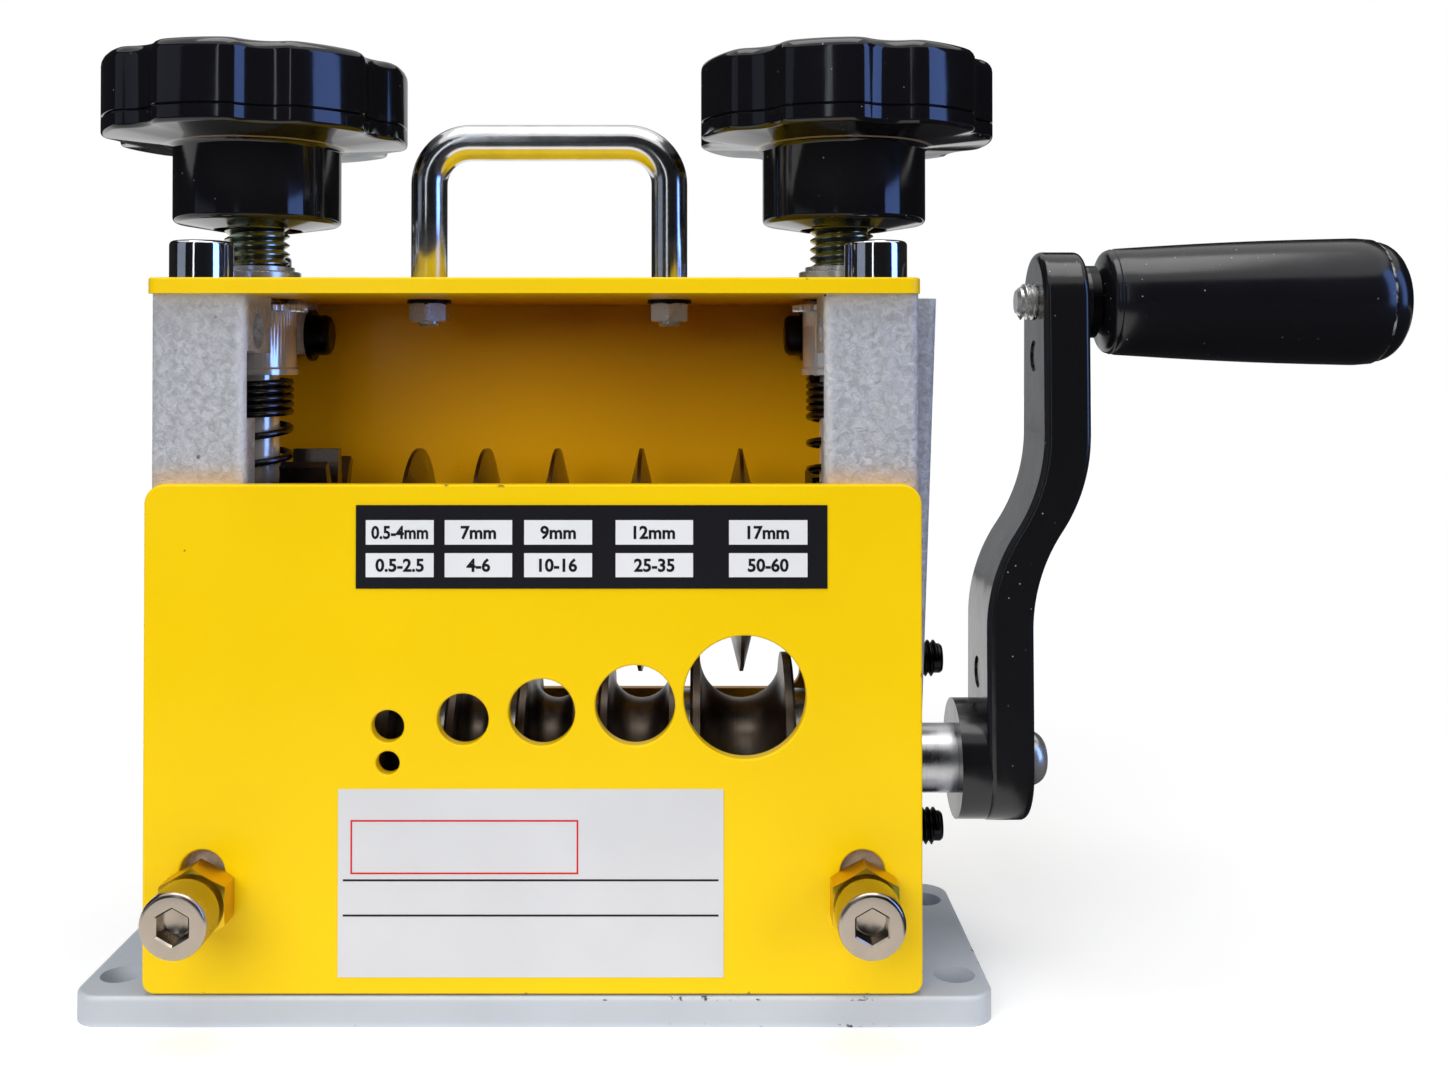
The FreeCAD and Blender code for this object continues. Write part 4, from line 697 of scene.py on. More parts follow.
def ridge(bm, root, crest, pitch, start, turns, steps=36):
    """A screw thread's ridge: a closed helical bar of trapezoid section, sunk in its core."""
    sink = 0.15 * MM
    profile = [(root - sink, 0), (root, 0), (crest, 0.40 * pitch), (crest, 0.55 * pitch),
               (root, 0.95 * pitch), (root - sink, 0.95 * pitch)]
    ring = [bm.verts.new((radius, 0, start + height)) for radius, height in profile]
    bm.faces.new(ring)
    wind(bm, ring, [(turns, pitch)], steps)


def hexagonal(flats):
    """The radius of a hexagon, given across its flats, at an angle."""
    def radius(angle):
        within = (angle + math.pi / 6) % (math.pi / 3) - math.pi / 6
        return flats / 2 / math.cos(within)
    return radius


def aimed(position, direction):
    """The transform that puts a form made about Z at a position, aimed along a direction."""
    turn = Z_AXIS.rotation_difference(Vector(direction)).to_matrix().to_4x4()
    return Matrix.Translation(position) @ turn


def add_piece(name, bm, material, body, nodes=(), angle=SHARP):
    """Turn a bmesh into a piece that rides on a body and stands for CAD nodes."""
    bmesh.ops.recalc_face_normals(bm, faces=bm.faces)
    mesh = bpy.data.meshes.new(name)
    bm.to_mesh(mesh)
    bm.free()
    mesh.shade_smooth()
    mesh.set_sharp_from_angle(angle=angle)
    mesh.materials.append(material)
    piece = bpy.data.objects.new(name, mesh)
    bpy.context.scene.collection.objects.link(piece)
    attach(piece, body)
    if nodes:
        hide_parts(*nodes)
    return piece


def dress(material, *nodes):
    """Give carried-over CAD nodes a finish."""
    for name in nodes:
        for slot in NODES[name].material_slots:
            slot.material = material


# ---------------------------------------------------------------- operators: housing

class STRIPPER_OT_base(Operator):
    """Paint the base plate"""
    bl_idname = "stripper.base"
    bl_label = "Base Plate"

    def execute(self, context):
        dress(base_paint(), "base_plate")
        dress(listed("blackened"), "column_base_screws")
        return {"FINISHED"}


class STRIPPER_OT_columns(Operator):
    """Give the two columns their cast skin"""
    bl_idname = "stripper.columns"
    bl_label = "Cast Columns"

    def execute(self, context):
        for side in SIDES:
            node = side + "_column"
            dress(sand_casting(node + "_finish", node), node)
        dress(listed("bearing_bronze"), "lower_bearings")
        return {"FINISHED"}


class STRIPPER_OT_sheets(Operator):
    """Paint the front plate, the rear plate and the folded cover"""
    bl_idname = "stripper.sheets"
    bl_label = "Yellow Sheets"

    def execute(self, context):
        for node in ("front_plate", "rear_plate", "top_cover"):
            dress(painted_sheet(node + "_finish", node), node)
        dress(listed("golden_paint"), "front_hex_nuts")
        return {"FINISHED"}


class STRIPPER_OT_chart(Operator):
    """Print the size chart and the blank label"""
    bl_idname = "stripper.chart"
    bl_label = "Chart and Label"

    rule_heights = (21.9, 28.9)
    rule_inset, rule_width = 1.0 * MM, 0.4 * MM
    frame_left, frame_right, frame_foot, frame_top = -36.3, 9.2, 30.3, 41.1
    frame_width = 0.35
    boldness = 0.03
    box_margin = 2.2
    box_edges = ((-33.4, -19.8), (-17.6, -4.1), (-1.7, 11.9), (16.6, 32.1), (39.3, 55.0))
    rows = ((96.0, 100.9), (89.5, 94.3))
    film = 0.04 * MM

    def execute(self, context):
        dress(listed("chart_black"), "size_chart")
        dress(listed("label_film"), "blank_label")
        front = low("size_chart").y
        boxes = bmesh.new()
        for left, right in self.box_edges:
            for foot, top in self.rows:
                self.panel(boxes, left * MM, right * MM, foot * MM, top * MM, front)
        add_piece("chart_boxes", boxes, listed("label_white"), "root")
        self.letters(context, front - self.film)
        self.label_lines()
        return {"FINISHED"}

    def panel(self, bm, left, right, foot, top, front):
        """A thin printed rectangle that stands on a face."""
        cube = bmesh.ops.create_cube(bm, size=1)["verts"]
        bmesh.ops.scale(bm, verts=cube, vec=(right - left, self.film, top - foot))
        bmesh.ops.translate(bm, verts=cube, vec=((left + right) / 2, front - self.film / 2,
                                                 (foot + top) / 2))

    def letters(self, context, front):
        """The numbers, one mesh for the whole chart."""
        chart = context.scene.stripper_chart
        printed_rows = bmesh.new()
        for words, (foot, top) in zip((chart.upper, chart.lower), self.rows):
            for word, (left, right) in zip(words.split(), self.box_edges):
                centre = Vector(((left + right) / 2 * MM, front, (foot + top) / 2 * MM))
                self.write(printed_rows, word, centre, chart.letter_height,
                           (right - left - self.box_margin) * MM)
        add_piece("chart_numbers", printed_rows, listed("chart_black"), "root")

    def write(self, bm, word, centre, letter_height, widest):
        """One word of flat letters, centred on a point of the front."""
        text = bpy.data.curves.new("word", "FONT")
        text.body = word
        text.extrude = self.film
        text.offset = self.boldness
        text.resolution_u = 3
        holder = bpy.data.objects.new("word", text)
        mesh = bpy.data.meshes.new_from_object(holder)
        start = len(bm.verts)
        bm.from_mesh(mesh)
        bm.verts.ensure_lookup_table()
        fresh = bm.verts[start:]
        bpy.data.objects.remove(holder)
        bpy.data.curves.remove(text)
        bpy.data.meshes.remove(mesh)
        capital = 0.69
        grow = letter_height / capital
        width = max(v.co.x for v in fresh) - min(v.co.x for v in fresh)
        squeeze = min(1.0, widest / (width * grow))
        bmesh.ops.scale(bm, verts=fresh, vec=(grow * squeeze, grow, 1))
        across = (max(v.co.x for v in fresh) + min(v.co.x for v in fresh)) / 2
        bmesh.ops.translate(bm, verts=fresh, vec=(-across, -letter_height / 2, 0))
        stand = Matrix.Translation(centre) @ Matrix.Rotation(math.pi / 2, 4, "X")
        bmesh.ops.transform(bm, verts=fresh, matrix=stand)

    def label_lines(self):
        """A red frame and two rules on an otherwise blank label."""
        foot, top = low("blank_label"), high("blank_label")
        front = foot.y
        rules = bmesh.new()
        for height in self.rule_heights:
            self.panel(rules, foot.x + self.rule_inset, top.x - self.rule_inset, height * MM,
                       height * MM + self.rule_width, front)
        add_piece("label_rules", rules, listed("chart_black"), "root")
        outline = bmesh.new()
        left, right, line = self.frame_left, self.frame_right, self.frame_width
        bottom, upper = self.frame_foot, self.frame_top
        for edges in ((left, right, bottom, bottom + line), (left, right, upper - line, upper),
                      (left, left + line, bottom + line, upper - line),
                      (right - line, right, bottom + line, upper - line)):
            self.panel(outline, *(edge * MM for edge in edges), front)
        add_piece("label_frame", outline, listed("label_red"), "root")


# ---------------------------------------------------------------- operators: fasteners

class STRIPPER_OT_screws(Operator):
    """Model the socket screws, with drilled sockets and threads where they show"""
    bl_idname = "stripper.screws"
    bl_label = "Socket Screws"

    count = 96
    head_turn = math.radians(12)

    def execute(self, context):
        front, caps = bmesh.new(), bmesh.new()
        for side in SIDES.values():
            head_face = Vector((side * self.column_of("front_screws"), low("front_screws").y,
                                middle("front_screws").z))
            length = high("front_screws").y - low("front_screws").y
            self.socket_screw(front, head_face, -Y_AXIS, length)
            for row in (low("top_cap_screws").y, high("top_cap_screws").y):
                reach = M8_HEAD * (1 if row < 0 else -1)
                place = Vector((side * self.column_of("top_cap_screws"), row + reach,
                                high("top_cap_screws").z))
                self.socket_screw(caps, place, Z_AXIS, height_of("top_cap_screws"))
        add_piece("front_socket_screws", front, listed("warm_nickel"), "root",
                  ["front_screws"])
        add_piece("cap_socket_screws", caps, listed("bright_chrome"), "root",
                  ["top_cap_screws"])
        self.lock_screws()
        dress(listed("bright_zinc"), "handle_nuts", "screw_bushings")
        dress(listed("blackened"), "side_screws", "side_screw_washers", "handle_washers",
              "rear_plate_screws")
        return {"FINISHED"}

    def column_of(self, node):
        """The distance from the middle to the axes of a pair of equal screws."""
        return high(node).x - M8_HEAD

    def socket_screw(self, bm, head_face, direction, length):
        """An M8 cap screw whose head face is at a point and looks along a direction."""
        head, shank, tall = M8_HEAD, M8_SHANK, M8_HEAD_HEIGHT
        socket, drill = hexagonal(M8_SOCKET), 2.6 * MM
        rings = [(0, -length), (shank - 0.8 * MM, -length), (shank, -length + 0.8 * MM),
                 (shank, -tall - 0.3 * MM), (shank + 0.3 * MM, -tall), (head - 0.2 * MM, -tall),
                 (head, -tall + 0.2 * MM)]
        rings += rounded(head, 0, 0.9 * MM, 1)
        rings += [(offset_shape(socket, 0.35 * MM), 0), (socket, -0.35 * MM),
                  (socket, -4.2 * MM), (drill, -4.25 * MM), (0, -5.4 * MM)]
        made = stack(bmesh.new(), rings, self.count, self.head_turn)
        merge_into(bm, made, aimed(head_face, direction))

    def lock_screws(self):
        """Two threaded set screws that stand out of the crank side's column."""
        pitch = sizes().bolt_pitch
        crest = M8_SHANK
        root = crest - THREAD_DEPTH * pitch
        long = high("bearing_lock_screws").x - low("bearing_lock_screws").x
        socket = hexagonal(4 * MM)
        screws = bmesh.new()
        for height in (low("bearing_lock_screws").z + crest,
                       high("bearing_lock_screws").z - crest):
            rings = [(0, -long), (root, -long), (root, -0.5 * MM), (root - 0.4 * MM, 0),
                     (offset_shape(socket, 0.2 * MM), 0), (socket, -0.2 * MM),
                     (socket, -4 * MM), (0, -5 * MM)]
            made = stack(bmesh.new(), rings, self.count)
            turns = math.floor((long - pitch) / pitch) - 0.25
            ridge(made, root, crest, pitch, -long + 0.3 * MM, turns)
            place = Vector((high("bearing_lock_screws").x, 0, height))
            merge_into(screws, made, aimed(place, X_AXIS))
        add_piece("threaded_lock_screws", screws, listed("blackened"), "root",
                  ["bearing_lock_screws"])


def merge_into(target, source, matrix):
    """Move a bmesh by a matrix and add it to another."""
    source.transform(matrix)
    carrier = bpy.data.meshes.new("carrier")
    source.to_mesh(carrier)
    source.free()
    target.from_mesh(carrier)
    bpy.data.meshes.remove(carrier)


class STRIPPER_OT_handle(Operator):
    """Bend the carrying handle"""
    bl_idname = "stripper.handle"
    bl_label = "Carrying Handle"

    def execute(self, context):
        bar = 4 * MM
        stud = 2.5 * MM
        foot = high("top_cover").z
        top = high("carry_handle").z - bar
        half = high("carry_handle").x - bar
        bend = sizes().handle_bend
        bm = bmesh.new()
        ring = bmesh.ops.create_circle(bm, cap_ends=True, segments=40, radius=bar)["verts"]
        bmesh.ops.translate(bm, verts=ring, vec=(-half, 0, foot))
        face = next(iter(bm.faces))
        last = self.pull(bm, [face, *face.edges, *face.verts], (0, 0, top - bend - foot))
        last = self.arc(bm, last, (-half + bend, 0, top - bend))
        last = self.pull(bm, last, (2 * (half - bend), 0, 0))
        last = self.arc(bm, last, (half - bend, 0, top - bend))
        self.pull(bm, last, (0, 0, -(top - bend - foot)))
        bevelled = [edge for edge in bm.edges
                    if all(abs(vert.co.z - foot) < TINY for vert in edge.verts)]
        bmesh.ops.bevel(bm, geom=bevelled, offset=0.4 * MM, segments=2, profile=0.5,
                        affect="EDGES", material=-1)
        add_piece("bent_handle", bm, listed("satin_chrome"), "root", ["carry_handle"])
        studs = bmesh.new()
        depth = foot - low("carry_handle").z
        for side in SIDES.values():
            rings = [(0, -depth), (stud - 0.5 * MM, -depth), (stud, -depth + 0.5 * MM),
                     (stud, 0.3 * MM), (0, 0.3 * MM)]
            made = stack(bmesh.new(), rings, 40)
            merge_into(studs, made, Matrix.Translation((side * half, 0, foot)))
        add_piece("handle_studs", studs, listed("bright_zinc"), "root")
        return {"FINISHED"}

    def pull(self, bm, last, along):
        """Draw the bar's end straight on."""
        grown = bmesh.ops.extrude_face_region(bm, geom=last)["geom"]
        fresh = [item for item in grown if isinstance(item, bmesh.types.BMVert)]
        bmesh.ops.translate(bm, verts=fresh, vec=along)
        return grown

    def arc(self, bm, last, centre):
        """Bend the bar's end a quarter turn about a centre."""
        return bmesh.ops.spin(bm, geom=last, cent=centre, axis=Y_AXIS, dvec=(0, 0, 0),
                              angle=math.pi / 2, steps=14, use_merge=False)["geom_last"]


# ---------------------------------------------------------------- operators: pressure stack

class STRIPPER_OT_knobs(Operator):
    """Mould the two star knobs"""
    bl_idname = "stripper.knobs"
    bl_label = "Star Knobs"

    count = 300
    twist = {"left": 172, "right": 167}
    bore, bore_depth = 7.3 * MM, 3 * MM
    recess, recess_depth = 9.5 * MM, 0.3 * MM
    seam_depth, seam_half_width = 0.45 * MM, 0.30 * MM
    dish_rim, dish, dish_depth = 15 * MM, 14 * MM, 0.6 * MM

    def execute(self, context):
        for side in SIDES:
            node = side + "_knob"
            bm = self.knob(height_of(node), math.radians(self.twist[side]))
            bm.transform(on_axis(node, low(node).z))
            add_piece(side + "_star_knob", bm, knob_plastic(), side + "_turner",
                      [node], math.radians(40))
        return {"FINISHED"}

    def outline(self, twist):
        """The lobed outline as a radius at an angle.

        Each scallop is an arc about a point outside the rim.  A shoulder arc touches it from
        outside and the rim from inside, and the crown between two shoulders is the rim."""
        size = sizes()
        rim, cut, shoulder = size.knob_radius, size.scallop_radius, size.lobe_radius
        away_from_axis = size.scallop_offset
        period = FULL_TURN / size.knob_lobes
        reach = rim - shoulder
        lean = math.acos((reach ** 2 + away_from_axis ** 2 - (shoulder + cut) ** 2)
                         / (2 * reach * away_from_axis))
        centre = Vector((reach * math.cos(lean), reach * math.sin(lean)))
        touch = Vector((away_from_axis, 0)).lerp(centre, cut / (shoulder + cut))
        turning = math.atan2(touch.y, touch.x)
        first = twist + math.pi / 2 + period / 2

        def shape(angle):
            away = (angle - first) % period
            away = min(away, period - away)
            if away < turning:
                aside = away_from_axis * math.sin(away)
                return away_from_axis * math.cos(away) - math.sqrt(cut ** 2 - aside ** 2)
            if away < lean:
                aside = reach * math.sin(lean - away)
                return reach * math.cos(lean - away) + math.sqrt(shoulder ** 2 - aside ** 2)
            return rim
        return shape

    def knob(self, top, twist):
        """Disc, parting line, hub and the recess round the screw, in one closed form."""
        size = sizes()
        outer = self.outline(twist)
        hub, foot = size.hub_radius, size.hub_height
        seam = foot + size.parting_height
        rings = [(self.bore, self.bore_depth), (self.recess, self.bore_depth),
                 (self.recess, self.recess_depth), (self.recess + self.recess_depth, 0)]
        rings += rounded(hub, 1.2 * MM, 1.2 * MM, -1)[::-1]
        rings += [(hub, foot - 1.0 * MM), (hub + 0.25 * MM, foot - 0.5 * MM),
                  (hub + 1.0 * MM, foot)]
        rings += rounded(outer, foot + size.foot_round, size.foot_round, -1)[::-1]
        rings += [(outer, seam - self.seam_half_width),
                  (offset_shape(outer, -self.seam_depth), seam),
                  (outer, seam + self.seam_half_width)]
        rings += rounded(outer, top, size.knob_round, 1)
        rings += [(offset_shape(outer, -7 * MM), top), (self.dish_rim, top),
                  (self.dish, top - self.dish_depth), (0, top - self.dish_depth)]
        return stack(bmesh.new(), rings, self.count)


class STRIPPER_OT_pressure_screws(Operator):
    """Cut the threads of the two pressure screws"""
    bl_idname = "stripper.pressure_screws"
    bl_label = "Pressure Screws"

    def execute(self, context):
        pitch = sizes().screw_pitch
        crest = 7 * MM
        root = crest - 0.6 * pitch
        for side in SIDES:
            node = side + "_pressure_screw"
            foot, top = low(node).z, high(node).z
            rings = [(0, foot), (root - 0.6 * MM, foot), (root, foot + 0.6 * MM), (root, top),
                     (0, top)]
            bm = stack(bmesh.new(), rings, 72)
            turns = math.floor((top - foot - pitch) / pitch) - 0.2
            ridge(bm, root, crest, pitch, foot + 0.4 * MM, turns, 48)
            bm.transform(on_axis(node))
            add_piece(side + "_threaded_screw", bm, thread_zinc(), side + "_turner",
                      [node])
        return {"FINISHED"}


class STRIPPER_OT_sleeves(Operator):
    """Turn the sleeves, with a knurled band under each lock ring"""
    bl_idname = "stripper.sleeves"
    bl_label = "Sleeves and Lock Rings"

    grooves = 60
    count = 360
    teeth = 36
    lip = 0.4 * MM
    play = 0.1 * MM

    def execute(self, context):
        for side in SIDES:
            body = side + "_press"
            zinc = listed("polished_zinc")
            node = side + "_sleeve"
            stand = on_axis(node)
            bm = self.sleeve(side, low(node).z, high(node).z)
            bm.transform(stand)
            add_piece(side + "_knurled_sleeve", bm, zinc, body, [node])
            node = side + "_lock_ring"
            bm = self.ring(side, low(node).z, high(node).z)
            bm.transform(stand)
            add_piece(side + "_toothed_ring", bm, zinc, body, [node])
            dress(zinc, side + "_guide_rod")
        return {"FINISHED"}

    def sleeve(self, side, foot, top):
        lip = self.lip
        radius = half_width(side + "_sleeve") - lip
        bore = half_width(side + "_guide_rod") + self.play

        def knurl(angle):
            return radius - 0.28 * MM * (0.5 - 0.5 * math.cos(self.grooves * angle))
        band = top - 5 * MM
        rings = [(bore, foot), (radius + lip, foot), (radius + lip, foot + 1.2 * MM),
                 (radius, foot + 1.7 * MM), (radius, band), (knurl, band + 0.6 * MM),
                 (knurl, top), (bore, top)]
        return closed_stack(bmesh.new(), rings, self.count)

    def ring(self, side, foot, top):
        crest, depth = half_width(side + "_lock_ring"), 0.75 * MM
        bore = half_width(side + "_sleeve") - self.lip + self.play / 2

        def toothed(angle):
            phase = (self.teeth * angle / FULL_TURN) % 1
            rise = min(1.0, max(0.0, 4.5 * (0.5 - abs(phase - 0.5)) - 0.6))
            return crest - depth + depth * rise
        rings = [(bore, foot), (offset_shape(toothed, -0.15 * MM), foot),
                 (toothed, foot + 0.2 * MM), (toothed, top - 0.2 * MM),
                 (offset_shape(toothed, -0.15 * MM), top), (bore, top)]
        return closed_stack(bmesh.new(), rings, self.count)


class STRIPPER_OT_springs(Operator):
    """Wind the pressure springs and the return springs"""
    bl_idname = "stripper.springs"
    bl_label = "Springs"

    press_travel, lift_travel = 4.0 * MM, 3.0 * MM
    return_wire, return_radius, return_turns = 0.5 * MM, 5.0 * MM, 3
    wire_end = math.radians(200)
    smooth_to = math.radians(60)

    def execute(self, context):
        size = sizes()
        wire = size.wire_radius
        for side in SIDES:
            node = side + "_spring"
            foot, top = low(node).z + wire, high(node).z - wire
            closed = size.closed_coils * size.closed_pitch
            pitch = (top - foot - closed) / size.open_coils
            radius = half_width(node) - wire
            bm = bmesh.new()
            coil(bm, radius, wire, foot, [(size.open_coils, pitch),
                                          (size.closed_coils, size.closed_pitch)])
            bm.transform(on_axis(node) @ Matrix.Rotation(self.wire_end, 4, "Z"))
            piece = add_piece(side + "_coil_spring", bm, listed("spring_wire"), side + "_press",
                              [node], self.smooth_to)
            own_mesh(piece)
        self.return_springs()
        return {"FINISHED"}

    def return_springs(self):
        node = "return_springs"
        wire, radius, turns = self.return_wire, self.return_radius, self.return_turns
        foot, top = low(node).z, high(node).z
        bm = bmesh.new()
        for side in SIDES.values():
            made = bmesh.new()
            coil(made, radius, wire, foot + wire, [(turns, (top - foot - 2 * wire) / turns)])
            across = side * (high(node).x - radius - wire)
            merge_into(bm, made, Matrix.Translation((across, 0, 0)))
        piece = add_piece("return_coils", bm, listed("spring_wire"), "carriage",
                          [node], self.smooth_to)
        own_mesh(piece)


# ---------------------------------------------------------------- operators: shafts and crank

class STRIPPER_OT_cutters(Operator):
    """Finish the blades, the rollers, the gears and their shafts"""
    bl_idname = "stripper.cutters"
    bl_label = "Blades and Rollers"

    def execute(self, context):
        dress(listed("blade_steel"), "upper_gear", *("blade_%d" % lane for lane in LANES))
        dress(listed("roller_steel"), "lower_gear", *("feed_roller_%d" % lane for lane in LANES))
        dress(listed("upper_shaft"), "blade_shaft", "blade_spacers")
        dress(listed("lower_shaft"), "drive_shaft", "roller_spacers", "crank_spacer")
        dress(listed("bearing_bronze"), "upper_bearings")
        dress(listed("milled_iron"), "left_bearing_block", "right_bearing_block")
        return {"FINISHED"}


class STRIPPER_OT_crank(Operator):
    """Enamel the crank arm and model its bolt"""
    bl_idname = "stripper.crank"
    bl_label = "Crank"

    def execute(self, context):
        dress(listed("crank_enamel"), "crank_arm")
        dress(listed("bright_zinc"), "crank_screw")
        dress(listed("blackened"), "grip_washer")
        node = "grip_bolt"
        pitch = sizes().bolt_pitch
        crest = M8_SHANK
        root = crest - THREAD_DEPTH * pitch
        head = M8_HEAD
        start, end = low(node).x, high(node).x
        rings = [(0, start), (root - 0.7 * MM, start), (root, start + 0.7 * MM),
                 (root, start + 14 * MM), (crest, start + 15 * MM), (crest, end - 5 * MM),
                 (head, end - 5 * MM), (head, end), (0, end)]
        bm = stack(bmesh.new(), rings, 64)
        ridge(bm, root, crest, pitch, start + 0.5 * MM, 9)
        place = Vector((0, 0, middle(node).z))
        bm.transform(aimed(place, X_AXIS))
        add_piece("threaded_grip_bolt", bm, listed("bright_zinc"), "drive", [node])
        return {"FINISHED"}


class STRIPPER_OT_grip(Operator):
    """Mould the turning grip and its end cap"""
    bl_idname = "stripper.grip"
    bl_label = "Grip"

    count = 128
    near, far, rim = 11.5 * MM, 14.1 * MM, 13.5 * MM
    bore, cavity, cavity_depth = 4.1 * MM, 7.0 * MM, 12 * MM
    swell = 0.35 * MM
    swell_steps, dome_steps = 12, 8
    dome_radius, dome_height = 7 * MM, 5.8 * MM

    def execute(self, context):
        start, seam = low("grip").x, high("grip").x
        end = high("grip_end_cap").x
        near, far, rim = self.near, self.far, self.rim
        bore, cavity = self.bore, self.cavity
        neck, widest = start + 4.2 * MM, seam - 4 * MM
        rings = [(bore, start)]
        rings += rounded(near, start + 1.5 * MM, 1.5 * MM, -1)[::-1]
        rings += [(near + 0.15 * MM, start + 3.2 * MM), (near - 0.05 * MM, start + 3.5 * MM),
                  (near + 0.3 * MM, neck)]
        for step in range(1, self.swell_steps + 1):
            share = step / self.swell_steps
            bulge = self.swell * math.sin(math.pi * share)
            rings.append((near + 0.3 * MM + (far - near - 0.3 * MM) * share + bulge,
                          neck + (widest - neck) * share))
        rings += [(rim + 0.35 * MM, seam - 0.5 * MM), (rim, seam), (cavity, seam),
                  (cavity, seam - self.cavity_depth), (bore, seam - self.cavity_depth)]
        place = aimed(Vector((0, 0, middle("grip").z)), X_AXIS)
        body = closed_stack(bmesh.new(), rings, self.count)
        body.transform(place)
        add_piece("turning_grip", body, grip_plastic(), "handgrip", ["grip"])
        plug = low("grip_end_cap").x
        rings = [(0, plug), (cavity - 0.05 * MM, plug), (cavity - 0.05 * MM, seam + 0.05 * MM),
                 (rim - 0.35 * MM, seam + 0.05 * MM), (rim - 0.1 * MM, seam + 0.3 * MM)]
        for step in range(1, self.dome_steps + 1):
            angle = math.pi / 2 * step / self.dome_steps
            rings.append((rim - self.dome_radius * (1 - math.cos(angle)) - 0.1 * MM,
                          end - self.dome_height * (1 - math.sin(angle))))
        rings.append((0, end))
        cap = stack(bmesh.new(), rings, self.count)
        cap.transform(place)
        add_piece("grip_end_plug", cap, grip_plastic(), "handgrip",
                  ["grip_end_cap"])
        return {"FINISHED"}


# ---------------------------------------------------------------- operators: stage

class STRIPPER_OT_stage(Operator):
    """Set the floor, the lamps, the world and the camera"""
    bl_idname = "stripper.stage"
    bl_label = "Stage"

    target = Vector((0.03, 0, 0.09))
    flag_radius, flag_height = 2.2, 1.9
    mat_height = 0.002
    # across and along, then the middle, of the front mat and the mat under the crank
    mats = {"dark_mat": ((2.2, 0.95), (0, -1.25)), "dark_side_mat": ((0.8, 0.7), (0.91, 0.2))}
    # azimuth in degrees, distance, width, foot, top, tint and strength of each glowing card
    windows = {"blue_window": (-23, 1.5, 0.60, 0.02, 1.3, (0.20, 0.36, 0.95), 4.5),
               "grey_window": (-150, 1.5, 0.9, 0.1, 1.1, (0.45, 0.52, 0.66), 0.5),
               "white_window": (-104, 1.5, 0.11, 0.1, 1.3, (0.85, 0.92, 1.0), 2.0),
               "rear_window": (92, 1.6, 0.9, 0.05, 1.4, (0.9, 0.92, 0.95), 0.55)}
    # distances from the origin between which the floor fades to white
    lit_floor, white_floor = 0.13, 0.34

    def execute(self, context):
        stage = context.scene.stripper_stage
        self.floor()
        self.flag()
        self.lamp(context, "key", (-0.50, -1.1, 0.62), (0.9, 0.9), stage.key_power, False)
        self.lamp(context, "fill", (1.0, -0.9, 0.45), (0.7, 0.9), stage.fill_power, False)
        self.lamp(context, "top", (0.0, -0.15, 1.2), (1.0, 0.8), stage.top_power)
        for name, card in self.windows.items():
            self.window(name, *card)
        self.world(context)
        self.camera(context)
        context.scene.view_settings.view_transform = "Standard"
        return {"FINISHED"}

    def floor(self):
        """A floor that is lit near the machine and fades to plain white round it."""
        bm = bmesh.new()
        bmesh.ops.create_grid(bm, x_segments=1, y_segments=1, size=6)
        made, tree, shader = new_finish("floor_white", (0.8, 0.8, 0.8), 0.0, 0.9)
        reach = tree.nodes.new("ShaderNodeVectorMath")
        reach.operation = "LENGTH"
        tree.links.new(object_point(tree), reach.inputs[0])
        far = between(tree, reach.outputs["Value"], self.lit_floor, self.white_floor)
        tree.links.new(mixed(tree, far, (0.8, 0.8, 0.8), (0, 0, 0)),
                       shader.inputs["Base Color"])
        self.glow(tree, shader, spread(tree, far, 0.36, 1.0, 0, 1))
        self.prop("floor", bm, made)

    def glow(self, tree, shader, strength):
        """Lift a surface towards white for the camera, for gloss and through glass only."""
        shader.inputs["Emission Color"].default_value = (1, 1, 1, 1)
        tree.links.new(math_node(tree, "MULTIPLY", self.sight(tree), strength),
                       shader.inputs["Emission Strength"])

    def sight(self, tree):
        """1 for what the camera sees, straight, in gloss or through glass."""
        path = tree.nodes.new("ShaderNodeLightPath")
        seen = math_node(tree, "MAXIMUM", path.outputs["Is Camera Ray"],
                         path.outputs["Is Glossy Ray"])
        return math_node(tree, "MAXIMUM", seen, path.outputs["Is Transmission Ray"])

    def prop(self, name, bm, material, gloss_only=False):
        """Put a piece of the studio in the scene."""
        mesh = bpy.data.meshes.new(name)
        bm.to_mesh(mesh)
        bm.free()
        mesh.materials.append(material)
        made = bpy.data.objects.new(name, mesh)
        bpy.context.scene.collection.objects.link(made)
        if gloss_only:
            made.visible_camera = False
            made.visible_diffuse = False
            made.visible_shadow = False
            made.visible_transmission = False

    def flag(self):
        """A dark round flag and dark mats about the machine, seen only in gloss."""
        dark, _, _ = new_finish("flag_black", (0.02, 0.02, 0.022), 0.0, 0.9)
        bm = bmesh.new()
        ring = bmesh.ops.create_circle(bm, segments=64, radius=self.flag_radius)["verts"]
        bmesh.ops.extrude_edge_only(bm, edges=list(bm.edges))
        upper = [vert for vert in bm.verts if vert not in ring]
        bmesh.ops.translate(bm, verts=upper, vec=(0, 0, self.flag_height))
        self.prop("dark_flag", bm, dark, gloss_only=True)
        for name, (reach, centre) in self.mats.items():
            bm = bmesh.new()
            bmesh.ops.create_grid(bm, x_segments=1, y_segments=1, size=1)
            bmesh.ops.scale(bm, verts=bm.verts, vec=(*reach, 1))
            bmesh.ops.translate(bm, verts=bm.verts, vec=(*centre, self.mat_height))
            self.prop(name, bm, dark, gloss_only=True)

